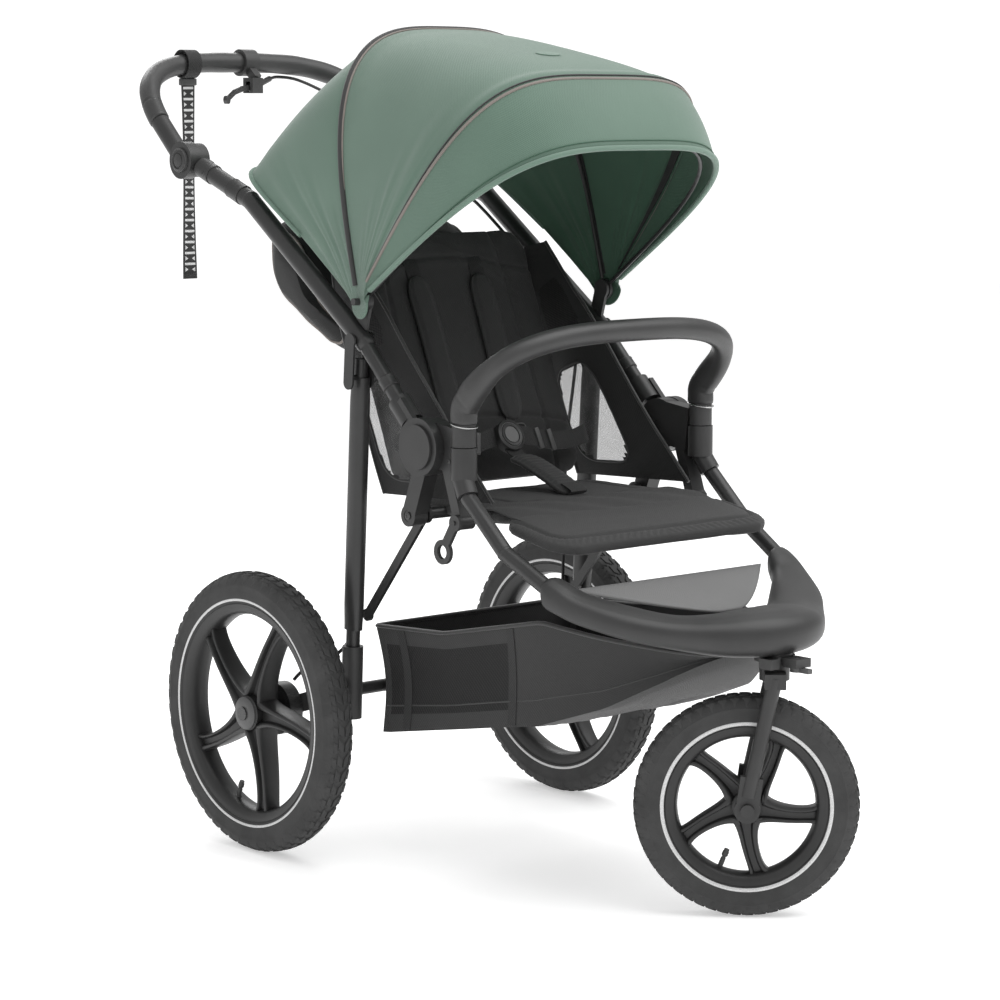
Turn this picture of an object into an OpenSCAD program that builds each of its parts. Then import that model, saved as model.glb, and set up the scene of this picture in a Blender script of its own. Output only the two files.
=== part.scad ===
// Three-wheeled folding baby stroller, assembled from named sub-parts.
// Millimetres. +X left side, +Y to the back, +Z up; the floor is z = 0.

/* [Overall] */
// distance between the rear wheels' centre planes
track = 594; // [560:1:640]
// rear tyre radius
rear_r = 203; // [190:1:215]
// front tyre radius
front_r = 150; // [135:1:158]
// half the distance between the two side frames
frame_half = 226; // [218:1:232]

/* [Frame] */
// radius of the upper push tubes
push_r = 13.5; // [11:0.5:15]
// radius of the lower frame tubes
low_r = 11; // [9:0.5:13]
// radius of the rear legs
leg_r = 10; // [8:0.5:12]
// radius of the fold hinge discs
disc_r = 40; // [34:1:42]

/* [Handle] */
// how far the handlebar reaches from its hinges
bar_reach = 232; // [200:1:250]
// radius of the foam grip
grip_r = 15.5; // [13:0.5:17]

/* [Canopy] */
// reach of the canopy bows from their pivot
canopy_reach = 392; // [360:1:400]
// thickness of the canopy cloth and its lining
cloth = 3; // [2:0.5:4]

/* [Wheels] */
// rear tyre half width
rear_w = 24; // [20:1:26]
// front tyre half width
front_w = 22.5; // [18:0.5:25]
// steering angle of the front wheel at rest
steer = 45.7; // [0:0.1:60]
// trail of the front wheel behind its swivel axis
trail = 35; // [25:1:45]

/* [Hidden] */
run = 0.06;
joint_fat = 0.4;
axle_y = 200;
canopy_half = frame_half + 10;
centre_y = 9.6;
wheel_x = track / 2;
fold_yz = [-100, 606];
handle_yz = [447, 987];
canopy_yz = [37, 797];
leg_yz = [48, 742];
link_yz = [-62, 507];
link_end_yz = [66, 350];
swivel_y = -538;
recline_yz = [10, 516];
rest_yz = [-204, 503];
black = [0.10, 0.10, 0.11];
green = [0.38, 0.52, 0.45];

// Brings the whole part to the middle of its length.
module placed() {
    translate([0, -centre_y, 0]) children();
}

function unit(v) = v / norm(v);
function reversed(v) = [for (i = [len(v) - 1 : -1 : 0]) v[i]];
// A half outline that starts and ends near x = 0, with its mirror image.
function whole(h) = concat(h, [for (p = reversed(h)) [-p[0], p[1]]]);
function tangent(p, i) = unit(p[min(i + 1, len(p) - 1)] - p[max(i - 1, 0)]);
function circle_ring(p, i, r, n, up) =
    let (t = tangent(p, i), b = unit(cross(t, up)), c = cross(t, b))
    [for (k = [0 : n - 1]) p[i] + r * cos(360 * (k + 0.5) / n) * b + r * sin(360 * (k + 0.5) / n) * c];
function power(v, e) = sign(v) * pow(abs(v), e);
// A super-elliptic arch in the plane that holds the X axis and leans by phi from +Y.
function arch(yz, a, b, n, phi, t) =
    let (d = b * power(sin(t), 2 / n))
    [a * power(cos(t), 2 / n), yz[0] + d * cos(phi), yz[1] + d * sin(phi)];
// Catmull-Rom points through a few chosen ones.
function spline(p, m) = [for (i = [0 : len(p) - 2], j = [0 : m - 1])
    let (a = p[max(i - 1, 0)], b = p[i], c = p[i + 1], d = p[min(i + 2, len(p) - 1)], t = j / m)
    0.5 * (2 * b + (c - a) * t + (2 * a - 5 * b + 4 * c - d) * t * t + (3 * b - a - 3 * c + d) * t * t * t),
    p[len(p) - 1]];

// Closed solid through equal rings of points.
module loft(rings) {
    m = len(rings[0]);
    n = len(rings);
    sides = [for (i = [0 : n - 2], k = [0 : m - 1])
        let (a = i * m + k, b = i * m + (k + 1) % m, c = (i + 1) * m + (k + 1) % m, d = (i + 1) * m + k)
        each [[a, c, b], [a, d, c]]];
    first = [for (k = [0 : m / 2 - 2]) each [[k, k + 1, m - 2 - k], [k, m - 2 - k, m - 1 - k]]];
    last = [for (f = first) [f[2], f[1], f[0]] + (n - 1) * m * [1, 1, 1]];
    polyhedron(points = [for (r = rings) each r], faces = concat(sides, first, last), convexity = 6);
}

module swept(p, r, n, up) {
    loft([for (i = [0 : len(p) - 1]) circle_ring(p, i, r, n, up)]);
}

module rod(a, b, r) {
    v = b - a;
    translate(a) rotate([0, acos(v[2] / norm(v)), atan2(v[1], v[0])]) cylinder(h = norm(v), r = r, $fn = 48);
}

// Cylinder along X from x0 to x1 on the axis yz.
module xcyl(x0, x1, yz, r) {
    translate([x0, yz[0], yz[1]]) rotate([0, 90, 0]) cylinder(h = x1 - x0, r = r, $fn = 64);
}

// Plate of a side profile, drawn in (y, z), from x0 to x1.
module xplate(x0, x1) {
    translate([x0, 0, 0]) rotate([90, 0, 90]) linear_extrude(x1 - x0) children();
}

module dot2(yz, r) {
    translate(yz) circle(r = r, $fn = 48);
}

module bar2(a, b, w) {
    v = b - a;
    translate(a) rotate(atan2(v[1], v[0])) translate([0, -w / 2]) square([norm(v), w]);
}

module both() {
    children();
    mirror([1, 0, 0]) children();
}

// ---- Chassis -----------------------------------------------------------

low_pts = [[frame_half + 4, -187, 545], [frame_half + 3, -262, 477], [frame_half - 9, -352, 428]];

module frame_tubes() {
    color(black) placed() both() {
        rod(low_pts[0], low_pts[1], low_r);
        rod(low_pts[1], low_pts[2], low_r);
        translate(low_pts[1]) sphere(r = low_r + joint_fat, $fn = 48);
    }
}

latch_yz = [-168, 508];
socket_y = -172;
socket_x = frame_half - 2;
socket_top = 610;
collar_r = 16.5;
stem_r = 10;

module hinge_housing() {
    color(black) placed() difference() {
        union() {
            xplate(frame_half - 18, frame_half + 5.6) {
                dot2(fold_yz, disc_r - 1);
                bar2([-100, 612], [-160, 604], 62);
                bar2(fold_yz, link_yz, 26);
                dot2(link_yz, 15);
                bar2([-140, 590], latch_yz, 16);
                dot2(latch_yz, 10);
            }
            xcyl(frame_half + 5, frame_half + 14, latch_yz, 3);
            translate([socket_x, socket_y, socket_top - 44]) cylinder(h = 44, r = 18, $fn = 64);
            rod([socket_x + 2, socket_y, 568], low_pts[0] + [0, -0.2, 0.2], low_r + 3.5);
        }
        translate([socket_x, socket_y, 572]) cylinder(h = 60, r = stem_r + run, $fn = 64);
        translate([socket_x, socket_y, socket_top]) cylinder(h = 60, r = collar_r + 0.8, $fn = 64);
        xcyl(frame_half - 26, frame_half + 14, fold_yz, 8 + run);
        xcyl(frame_half - 26, frame_half + 14, link_yz, 8.2);
        rod(low_pts[0] + [0, 0.2, -0.2], low_pts[0] + 0.6 * (low_pts[1] - low_pts[0]), low_r + 0.3);
    }
}

module hinge_housing_left() {
    hinge_housing();
}

module hinge_housing_right() {
    mirror([1, 0, 0]) hinge_housing();
}

function nose_side() = [[-334, 410], [-334, 458], [-400, 436], [-470, 424], [-530, 430], [-566, 430],
    [-592, 412], [-602, 386], [-596, 362], [-578, 352], [-500, 352], [-440, 366], [-380, 392]];
function nose_half() = [[236, -334], [226, -390], [196, -450],
    [150, -506], [104, -556], [70, -586], [34, -602]];
function nose_inner() = [[44, -464], [88, -434], [136, -396], [174, -360], [194, -334]];

module nose_cover() {
    color(black) placed() difference() {
        intersection() {
            xplate(-240, 240) polygon(nose_side());
            linear_extrude(500) polygon(whole(concat(nose_inner(), nose_half())));
        }
        translate([0, swivel_y, 340]) cylinder(h = 62, r = 24.2, $fn = 64);
        both() rod(low_pts[1], low_pts[2] + unit(low_pts[2] - low_pts[1]), low_r + 0.2);
    }
}

module foot_panel() {
    color([0.55, 0.56, 0.57]) placed() intersection() {
        xplate(-200, 200) polygon([[-338, 428], [-338, 432], [-462, 402], [-462, 398]]);
        linear_extrude(500) polygon(whole([
            [20, -453], [40, -448], [80, -424], [130, -386], [166, -352], [180, -338]]));
    }
}

lock_y = swivel_y - 40;

module head_tube() {
    color(black) placed() difference() {
        union() {
            translate([0, swivel_y, 344]) cylinder(h = 56, r = 24, $fn = 64);
            translate([0, swivel_y, 344]) cylinder(h = 7.6, r = 27, $fn = 64);
            translate([-14, lock_y - 12, 340]) cube([28, 26, 11.6]);
            translate([-38, swivel_y - 30, 338]) cube([16, 22, 13.6]);
        }
        translate([0, swivel_y, 330]) cylinder(h = 62, r = 10 + run, $fn = 64);
        translate([0, lock_y, 330]) cylinder(h = 30, r = 5 + run, $fn = 48);
    }
}

module seat_cross_bar() {
    color(black) placed() xcyl(-frame_half - 5, frame_half + 5, link_yz, 8);
}

// Right half of the seat outline, from its back edge to its rounded front corner.
function seat_half() = concat([[172, 2]],
    [for (k = [0 : 6]) [152, -170] + 20 * [cos(15 * k), -sin(15 * k)]]);

module seat_pad() {
    color(black) placed() difference() {
        translate([0, 0, 498]) linear_extrude(26) polygon(whole(seat_half()));
        translate([-200, link_yz[0] - 8.3, 480]) cube([400, 16.6, link_yz[1] + 8.3 - 480]);
    }
}

module side_panel() {
    color(black) placed() xplate(184, 187)
        polygon([[-188, 532], [34, 778], [120, 866], [136, 850], [88, 700], [22, 520], [-120, 528]]);
}

module side_panel_left() {
    side_panel();
}

module side_panel_right() {
    mirror([1, 0, 0]) side_panel();
}

buckle_tilt = 62;

module crotch_pad() {
    color(black) placed() xplate(-24, 24) polygon([[-158, 524.4], [-158, 534], [-120, 552], [-60, 572],
        [-22, 572], [-20, 560], [-60, 556], [-112, 536], [-136, 524.4]]);
}

module buckle() {
    color(black) placed() translate([0, -8, 596]) rotate([buckle_tilt, 0, 0]) difference() {
        cylinder(h = 15, r = 23, center = true, $fn = 64);
        translate([0, 0, 1]) cylinder(h = 10, r = 12.4, $fn = 64);
    }
}

module buckle_button() {
    color([0.16, 0.16, 0.17]) placed() translate([0, -8, 596]) rotate([buckle_tilt, 0, 0])
        translate([0, 0, 3.5]) cylinder(h = 5, r = 12, $fn = 64);
}

function basket_side(d, top) = [[60 - d, 334 + top], [60 - d, 178 + d], [-190, 222 + d], [-262, 233 + d],
    [-364, 268 + d], [-430, 306 + d],
    [-474 + d, 336 + d], [-484 + d, 346 + top], [-273, 380 + top], [-84, 342 + top]];
function basket_half(d) = [
    [186 - d, 70 - 2 * d], [186 - d, -120], [176 - d, -270], [140 - d, -370], [92 - d, -440],
    [50 - d, -478], [20 - d, -488 + d]];

module basket_body(d, top) {
    intersection() {
        xplate(-200, 200) polygon(basket_side(d, top));
        linear_extrude(500) polygon(whole(basket_half(d)));
    }
}

module basket() {
    color(black) placed() difference() {
        basket_body(0, 0);
        basket_body(3.5, 30);
    }
}

module fold_latch() {
    color(black) placed() xplate(-frame_half - 12, -frame_half - 6.2) difference() {
        union() {
            dot2(latch_yz, 11);
            bar2(latch_yz, [-146, 474], 14);
            translate([-142, 466]) circle(r = 17, $fn = 48);
        }
        translate([-142, 466]) circle(r = 9.5, $fn = 48);
        dot2(latch_yz, 3 + run);
    }
}

// ---- Bumper bar ----------------------------------------------------------

function bumper_path() = concat(
    [[socket_x, socket_y, 642], [socket_x, socket_y, 652], [socket_x, socket_y - 3, 670]],
    [for (t = [3 : 6 : 177]) arch([socket_y - 9, 676], socket_x, 122, 3, 134.5, t)],
    [[-socket_x, socket_y - 3, 670], [-socket_x, socket_y, 652], [-socket_x, socket_y, 642]]);

module bumper_bar() {
    color([0.15, 0.15, 0.16]) placed() swept(bumper_path(), 15.5, 14, [0, -0.7, -0.71]);
}

module bumper_ends() {
    color(black) placed() both() {
        translate([socket_x, socket_y, socket_top + 1]) cylinder(h = 30.6, r = collar_r, $fn = 64);
        translate([socket_x, socket_y, 578]) cylinder(h = socket_top + 2 - 578, r = stem_r, $fn = 64);
    }
}

// ---- Seat parts that move --------------------------------------------------

function quarter(c, r, a0) = [for (k = [0 : 6]) c + r * [cos(a0 + 15 * k), sin(a0 + 15 * k)]];

barrel_r = 6;

module leg_rest() {
    color(black) placed() translate([0, rest_yz[0], rest_yz[1]]) rotate([11, 0, 0]) {
        translate([0, -2, -3]) linear_extrude(22)
            polygon(concat([[206, -6], [-206, -6]],
                quarter([-156, -84], 50, 180), quarter([156, -84], 50, 270)));
        rotate([0, 90, 0]) cylinder(h = 380, r = barrel_r, center = true, $fn = 48);
        translate([-180, -10, -2]) cube([360, 10, 5]);
    }
}

module backrest() {
    color(black) placed() translate([0, recline_yz[0], recline_yz[1]]) rotate([-22, 0, 0]) {
        translate([-178, 0, 14]) cube([356, 26, 390]);
        rotate([0, 90, 0]) cylinder(h = 300, r = barrel_r, center = true, $fn = 48);
        translate([-140, 1, 0]) cube([280, 4.5, 16]);
    }
}

module shoulder_straps() {
    color(black) placed() both() translate([0, recline_yz[0], recline_yz[1]]) rotate([-22, 0, 0])
        translate([34, -12, 100]) cube([48, 11.6, 230]);
}

module waist_straps() {
    color(black) placed() both() rod([27, -4, 597], [150, 12, 585], 4);
}

// ---- Push frame ---------------------------------------------------------------

push_pts = [[frame_half, -50, 652], [frame_half, 37, 739], [frame_half, 300, 931], [frame_half, 419, 977]];

module push_tube() {
    color(black) placed() {
        rod(push_pts[0], push_pts[1], push_r - 2.5);
        difference() {
            union() {
                rod(push_pts[1], push_pts[2], push_r);
                translate(push_pts[1]) sphere(r = push_r + joint_fat, $fn = 64);
            }
            xcyl(frame_half - 30, frame_half + 30, leg_yz, 4 + run);
        }
        rod(push_pts[2], push_pts[3], push_r);
        translate(push_pts[2]) sphere(r = push_r + joint_fat, $fn = 64);
    }
}

module push_tube_left() {
    push_tube();
}

module push_tube_right() {
    mirror([1, 0, 0]) push_tube();
}

module fold_disc() {
    color(black) placed() {
        difference() {
            union() {
                xcyl(frame_half + 6, frame_half + 20, fold_yz, disc_r);
                xplate(frame_half + 6, frame_half + 14) bar2(fold_yz, [-46, 660], 30);
                rod([frame_half, -66, 636], [frame_half, -38, 664], push_r + 3);
            }
            rod([frame_half, -50.2, 651.8], [frame_half, -30, 672], push_r - 2.3);
            xcyl(frame_half + 14, frame_half + 40, fold_yz, disc_r - 9);
        }
        xcyl(frame_half + 14, frame_half + 24, fold_yz, disc_r - 9.2);
        xcyl(frame_half - 17, frame_half + 7, fold_yz, 8);
    }
}

module fold_disc_left() {
    fold_disc();
}

module fold_disc_right() {
    mirror([1, 0, 0]) fold_disc();
}

module handle_hub_inner() {
    color(black) placed() both() {
        difference() {
            union() {
                xcyl(frame_half - 16, frame_half + 1, handle_yz, 25);
                xplate(frame_half - 12, frame_half + 1) bar2([410, 973], handle_yz, 24);
            }
            rod([frame_half, 400, 969.7], [frame_half, 419.3, 977.1], push_r + 0.2);
        }
        xcyl(frame_half, frame_half + 10, handle_yz, 7);
    }
}

module canopy_mounts() {
    color(black) placed() both() {
        xplate(frame_half - 5, frame_half) difference() {
            union() {
                bar2([48, 758], canopy_yz, 24);
                dot2(canopy_yz, 14);
            }
            bar2([24.1, 729.6], [85.5, 774.4], 2 * push_r + 3);
            dot2([37, 739], push_r + 1.5);
        }
        xcyl(frame_half - 1, frame_half + 21, canopy_yz, 5);
    }
}

function bow_path(a, b, n, phi) = concat(
    [[a, canopy_yz[0] + 16 * cos(phi), canopy_yz[1] + 16 * sin(phi)]],
    [for (t = [8 : 5.125 : 172.1]) arch(canopy_yz, a, b, n, phi, t)],
    [[-a, canopy_yz[0] + 16 * cos(phi), canopy_yz[1] + 16 * sin(phi)]]);

module rear_bow() {
    color(black) placed() swept(bow_path(canopy_half - 7.5, canopy_reach - 11, 3.2, 76),
        3, 8, [0, cos(166), sin(166)]);
}

// U-shaped cross-section of the canopy in the plane that leans by phi.
function shell_ring(a, b, n, phi, w, steps) = concat(
    [shell_point(a, 16, phi)], [for (t = [8 : 164 / steps : 172.1]) arch(canopy_yz, a, b, n, phi, t)],
    [shell_point(-a, 16, phi)], [shell_point(w - a, 16, phi)],
    [for (t = [8 : 164 / steps : 172.1]) arch(canopy_yz, w - a, b - w, n, phi, t)],
    [shell_point(a - w, 16, phi)]);
function shell_point(x, rho, phi) = [x, canopy_yz[0] + rho * cos(phi), canopy_yz[1] + rho * sin(phi)];

rear_phi = 76;
hem_phi = 32;
function chord(phi) =
    let (p = (canopy_reach - 3) * [cos(rear_phi), sin(rear_phi)],
        q = 331 * [cos(hem_phi), sin(hem_phi)], d = q - p)
    (p[0] * d[1] - p[1] * d[0]) / (cos(phi) * d[1] - sin(phi) * d[0]);

module canopy_rear() {
    color(green) placed() loft([for (i = [0 : 6])
        let (phi = hem_phi + (rear_phi - hem_phi) * i / 6)
        shell_ring(canopy_half - 8 * (1 - i / 6), chord(phi), 3.2 + 4 * (1 - i / 6), phi, cloth, 24)]);
}

module mid_bow() {
    color(black) placed() {
        swept(bow_path(canopy_half + 7.4, canopy_reach + 5.4, 3.9, 129), 3.2, 8, [0, cos(219), sin(219)]);
        both() difference() {
            xcyl(canopy_half + 5.4, canopy_half + 9.4, canopy_yz, 15.4);
            xcyl(canopy_half, canopy_half + 20, canopy_yz, 5 + run);
        }
    }
}

module canopy_mid() {
    color(green) placed() loft([for (i = [0 : 6])
        let (phi = 76.4 + 55 * i / 6)
        shell_ring(canopy_half + 4, canopy_reach + 2, 3.8, phi, cloth, 24)]);
}

module front_bow() {
    color(black) placed() {
        swept(bow_path(canopy_half - 7.5, canopy_reach - 18.5, 3.2, 144), 3, 8, [0, cos(234), sin(234)]);
        both() difference() {
            xcyl(frame_half + 1, frame_half + 6, canopy_yz, 15.4);
            xcyl(frame_half - 20, frame_half + 30, canopy_yz, 5 + run);
        }
    }
}

module canopy_visor() {
    color(green) placed() loft([for (i = [0 : 4])
        let (phi = 126 + 20 * i / 4, b = canopy_reach - 3 - 8 * i / 4)
        shell_ring(canopy_half, b, 3.6, phi, cloth, 24)]);
}

module rear_bag() {
    color(black) placed() xplate(-180, 180)
        polygon([[262, 868], [318, 905], [345, 888], [338, 830], [300, 785], [190, 722], [150, 712],
            [140, 730], [215, 778]]);
}

// ---- Handle --------------------------------------------------------------------

bar_phi = 39.5;
bar_half = frame_half + 4;
bar_yz = [456, 987];
bar_n = 3.3;
function bar_point(t) = arch(bar_yz, bar_half, bar_reach, bar_n, bar_phi, t);
// Middle of the handlebar at a given distance to the side.
function bar_at(x) =
    let (d = bar_reach * pow(1 - pow(abs(x) / bar_half, bar_n), 1 / bar_n))
    [x, bar_yz[0] + d * cos(bar_phi), bar_yz[1] + d * sin(bar_phi)];

module handle_bar() {
    color(black) placed() swept([for (t = [12 : 4 : 168]) bar_point(t)], grip_r, 14,
        [0, cos(bar_phi + 90), sin(bar_phi + 90)]);
}

module handle_arm() {
    root = [bar_half + 2, 470, 999];
    difference() {
        union() {
            xcyl(frame_half + 1.4, frame_half + 20, handle_yz, 27.5);
            rod(root, bar_point(12) + 2.6 * unit(root - bar_point(12)), grip_r - 1.5);
        }
        xcyl(frame_half - 26, frame_half + 10.4, handle_yz, 7 + run);
        xcyl(frame_half - 26, frame_half + 1.4, handle_yz, 29);
        xcyl(frame_half + 15, frame_half + 34, handle_yz, 18.4);
    }
}

module handle_arms() {
    color(black) placed() both() handle_arm();
}

module handle_button_left() {
    color(black) placed() xcyl(frame_half + 18.5, frame_half + 23.5, handle_yz, 18);
}

module handle_button_right() {
    color(black) placed() xcyl(-frame_half - 23.5, -frame_half - 18.5, handle_yz, 18);
}

clamp_at = bar_at(14);
lever_at = clamp_at + [-12, -29, -38.6];
lever_yaw = 25;

// Moves a shape drawn round the lever's pivot to its place under the handlebar.
module at_lever() {
    translate(lever_at) rotate(lever_yaw) children();
}

// Cylinder along the lever's pin from y0 to y1.
module lever_pin(y0, y1, r) {
    translate([0, y1, 0]) rotate([90, 0, 0]) cylinder(h = y1 - y0, r = r, $fn = 48);
}

module brake_clamp() {
    color(black) placed() {
        difference() {
            union() {
                translate(clamp_at) rotate([0, 90, 0])
                    cylinder(h = 26, r = grip_r + 5.5, center = true, $fn = 48);
                xplate(clamp_at[0] - 6, clamp_at[0] + 6)
                    bar2([lever_at[1], lever_at[2] + 13], [clamp_at[1] - 9, clamp_at[2] - 9], 14);
                at_lever() translate([-9, -8.5, -9]) cube([34, 17, 24]);
            }
            translate(clamp_at) rotate([0, 90, 0])
                cylinder(h = 60, r = grip_r + 0.3, center = true, $fn = 48);
            at_lever() translate([-20, -3.6, -20]) cube([28, 7.2, 29]);
        }
        at_lever() lever_pin(-8, 8, 3);
        at_lever() rod([24, 0, 4], [62, 0, 14], 4.6);
    }
}

module brake_lever() {
    color([0.2, 0.2, 0.21]) placed() at_lever() translate([0, 3, 0]) rotate([90, 0, 0]) linear_extrude(6)
        difference() {
            union() {
                circle(r = 6.5, $fn = 48);
                bar2([0, 0], [-28, -2.4], 8);
                bar2([-26, -2.2], [-54, -8], 7);
                bar2([-52, -7.4], [-76, -19], 6);
                translate([-77, -19.6]) circle(r = 6.4, $fn = 48);
            }
            circle(r = 3 + run, $fn = 48);
        }
}

cable_r = 2.6;

// Free end of the barrel that the brake cable leaves from.
barrel_end = lever_at + [62.3 * cos(lever_yaw), 62.3 * sin(lever_yaw), 14];

module handle_cable() {
    color(black) placed() swept(spline([barrel_end, barrel_end + [20, 4, 3], barrel_end + [48, -12, -2],
        barrel_end + [82, -46, -24], barrel_end + [112, -88, -54],
        [frame_half - 31, handle_yz[0] + 40, handle_yz[1] + 26],
        [frame_half - 22, handle_yz[0] + 10, handle_yz[1] + 4]], 6), cable_r, 8, [0, 0, 1]);
}

module frame_cable() {
    x = frame_half - push_r - 6.4;
    color(black) placed() both() swept(spline([[x - 3, 440, 983], [x - 1, 400, 966], [x, 300, 918],
        [x, 180, 832], [x, 100, 772], [x, 64, 744]], 5), cable_r, 8, [1, 0, 0]);
}

strap_x = -100;
strap_yz = [bar_at(strap_x)[1], bar_at(strap_x)[2]];
strap_r = grip_r + 4.5;

module wrist_strap() {
    color(black) placed() {
        difference() {
            xcyl(strap_x - 13, strap_x + 13, strap_yz, strap_r + 2);
            xcyl(strap_x - 20, strap_x + 20, strap_yz, strap_r);
        }
        translate([strap_x - 13, strap_yz[0] - 1, strap_yz[1] - strap_r - 312.2]) cube([26, 2, 312]);
    }
}

// ---- Rear legs --------------------------------------------------------------------

leg_x = frame_half - 6;
cross_yz = [79, 242];
drum_r = 38;

module rear_legs() {
    color(black) placed() both() rod([leg_x, 53, 716], [leg_x, 77, 293], leg_r);
}

module leg_brackets() {
    x_in = frame_half - push_r - 6;
    x_out = frame_half + push_r + 2.7;
    color(black) placed() both() {
        for (x = [x_in, x_out]) xplate(x, x + 3) {
            dot2(leg_yz, 11);
            bar2(leg_yz, [52, 684], 20);
            dot2([52, 684], 10);
        }
        xcyl(x_in + 2, x_out + 1, leg_yz, 4);
        difference() {
            xcyl(x_in + 2, x_out + 1, [54.5, 690], 4);
            rod([leg_x, 53, 716], [leg_x, 77, 293], leg_r + 0.2);
        }
    }
}

module foot_holders() {
    color(black) placed() both() difference() {
        rod([leg_x, 76, 306], [leg_x, 81, 202], leg_r + 5);
        rod([leg_x, 53, 716], [leg_x, 77.02, 292.6], leg_r + 0.2);
        xcyl(leg_x - 30, leg_x + 30, cross_yz, 9.2);
    }
}

module cross_axle() {
    color(black) placed() xcyl(-frame_half - 10, frame_half + 10, cross_yz, 9);
}

module trailing_arms() {
    color(black) placed() both() {
        xplate(frame_half + 10.4, frame_half + 18) {
            dot2(cross_yz, 17);
            bar2(cross_yz, [axle_y, rear_r], 26);
            dot2([axle_y, rear_r], 20);
        }
    }
}

module drum_brakes() {
    color([0.14, 0.14, 0.15]) placed() both() {
        xcyl(frame_half + 18.4, frame_half + 40, [axle_y, rear_r], drum_r);
        xcyl(frame_half + 39, wheel_x + 25, [axle_y, rear_r], 6);
        xcyl(wheel_x + 25.6, wheel_x + 29, [axle_y, rear_r], 10);
        xcyl(wheel_x + 24, wheel_x + 26, [axle_y, rear_r], 5.5);
    }
}

module leg_cable() {
    x = frame_half - 22;
    color(black) placed() both() swept(spline([[x + 1, 67, 728], [x - 1, 75, 660], [x, 92, 560], [x, 97, 440],
        [x, 100, 330], [x + 10, 108, 296], [x + 34, axle_y - 75, rear_r + 77],
        [x + 50, axle_y - 50, rear_r + 60],
        [x + 51, axle_y - 32, rear_r + drum_r + 8]], 5), cable_r, 8, [1, 0, 0.01]);
}

module parking_pedal() {
    color([0.12, 0.12, 0.13]) placed() difference() {
        union() {
            xcyl(-16, 16, cross_yz, 15);
            translate([-22, 88, 244]) rotate([14, 0, 0]) cube([44, 62, 7]);
        }
        xcyl(-60, 60, cross_yz, 9 + run);
    }
}

module links() {
    color(black) placed() both() {
        xplate(frame_half - 29, frame_half - 23) difference() {
            union() {
                bar2(link_yz, link_end_yz, 13);
                dot2(link_yz, 13);
                dot2(link_end_yz, 9);
            }
            dot2(link_yz, 8 + run);
        }
    }
}

// ---- Wheels --------------------------------------------------------------------------

function spoke_side(r0, r1, w0, w1, s) = [for (i = [0 : 8])
    let (q = i / 8, r = r0 + (r1 - r0) * q, a = 26 * q * q, w = w0 + (w1 - w0) * q)
    r * [cos(a), sin(a)] + s * w / 2 * [-sin(a + 20 * q), cos(a + 20 * q)]];

// Spoked rim round the Z axis. The seat radius is where the tyre sits.
module rim(seat, hub, half, bore) {
    rotate_extrude($fn = 96) polygon([[seat - 14, -3], [seat - 9, -half + 8], [seat - 3, -half + 4],
        [seat, -half + 5],
        [seat - 4, 0], [seat, half - 5], [seat - 3, half - 4], [seat - 9, half - 8], [seat - 14, 3]]);
    difference() {
        union() {
            translate([0, 0, -half + 2]) cylinder(h = 2 * half - 4, r = hub, $fn = 64);
            for (k = [0 : 4]) rotate(72 * k) translate([0, 0, -8]) linear_extrude(16)
                polygon(concat(spoke_side(hub - 3, seat - 11, 34, 20, 1),
                    reversed(spoke_side(hub - 3, seat - 11, 34, 20, -1))));
        }
        cylinder(h = 200, r = bore, center = true, $fn = 64);
    }
}

// Tyre round the Z axis, outside the rim's seat.
module tyre(seat, outer, half) {
    h = outer - seat;
    rotate_extrude($fn = 96) polygon([[seat + 0.3, -half + 6], [seat + 0.12 * h, -half + 2],
        [seat + 0.4 * h, -half], [seat + 0.68 * h, -half + 2.5],
        [seat + 0.88 * h, -half * 0.66], [outer - 0.6, -half * 0.35], [outer, 0], [outer - 0.6, half * 0.35],
        [seat + 0.88 * h, half * 0.66], [seat + 0.68 * h, half - 2.5], [seat + 0.4 * h, half],
        [seat + 0.12 * h, half - 2],
        [seat + 0.3, half - 6], [seat - 3.6, 0]]);
}

rear_seat = rear_r - 47;
front_seat = front_r - 44;

module at_rear(side) {
    translate([side * wheel_x, axle_y, rear_r]) rotate([0, side * 90, 0]) rotate(18) children();
}

module rear_rim(side) {
    color(black) placed() at_rear(side) rim(rear_seat, 25, 24, 6 + run);
}

module rear_tyre(side) {
    color([0.07, 0.07, 0.07]) placed() at_rear(side) tyre(rear_seat, rear_r, rear_w);
}

module rear_rim_left() {
    rear_rim(1);
}

module rear_rim_right() {
    rear_rim(-1);
}

module rear_tyre_left() {
    rear_tyre(1);
}

module rear_tyre_right() {
    rear_tyre(-1);
}

module steered() {
    translate([0, swivel_y, 0]) rotate(steer) children();
}

fork_x = 37;

module fork() {
    color(black) placed() steered() {
        translate([0, 0, 330]) cylinder(h = 60, r = 10, $fn = 64);
        translate([0, 0, 318]) cylinder(h = 25.6, r = 20, $fn = 64);
        translate([-fork_x - 9, -14, 312]) cube([2 * fork_x + 18, 28, 20]);
        both() rod([fork_x, 0, 326], [fork_x, trail - 1, front_r + 18], 10);
        both() xplate(fork_x - 5, fork_x + 5) {
            bar2([trail - 6, front_r + 44], [trail, front_r], 30);
            dot2([trail, front_r], 17);
        }
        xcyl(-fork_x, fork_x, [trail, front_r], 6);
        both() xcyl(fork_x + 4, fork_x + 11, [trail, front_r], 9);
    }
}

module swivel_lock() {
    color([0.13, 0.13, 0.14]) placed() {
        translate([0, lock_y, 336]) cylinder(h = 15, r = 5, $fn = 48);
        translate([0, lock_y, 333.6]) cylinder(h = 6, r = 9, $fn = 48);
        translate([-4, lock_y - 24, 333.6]) cube([8, 18, 6]);
    }
}

module front_rim() {
    color(black) placed() steered() translate([0, trail, front_r]) rotate([0, 90, 0]) rotate(8)
        rim(front_seat, 20, 22, 6 + run);
}

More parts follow.
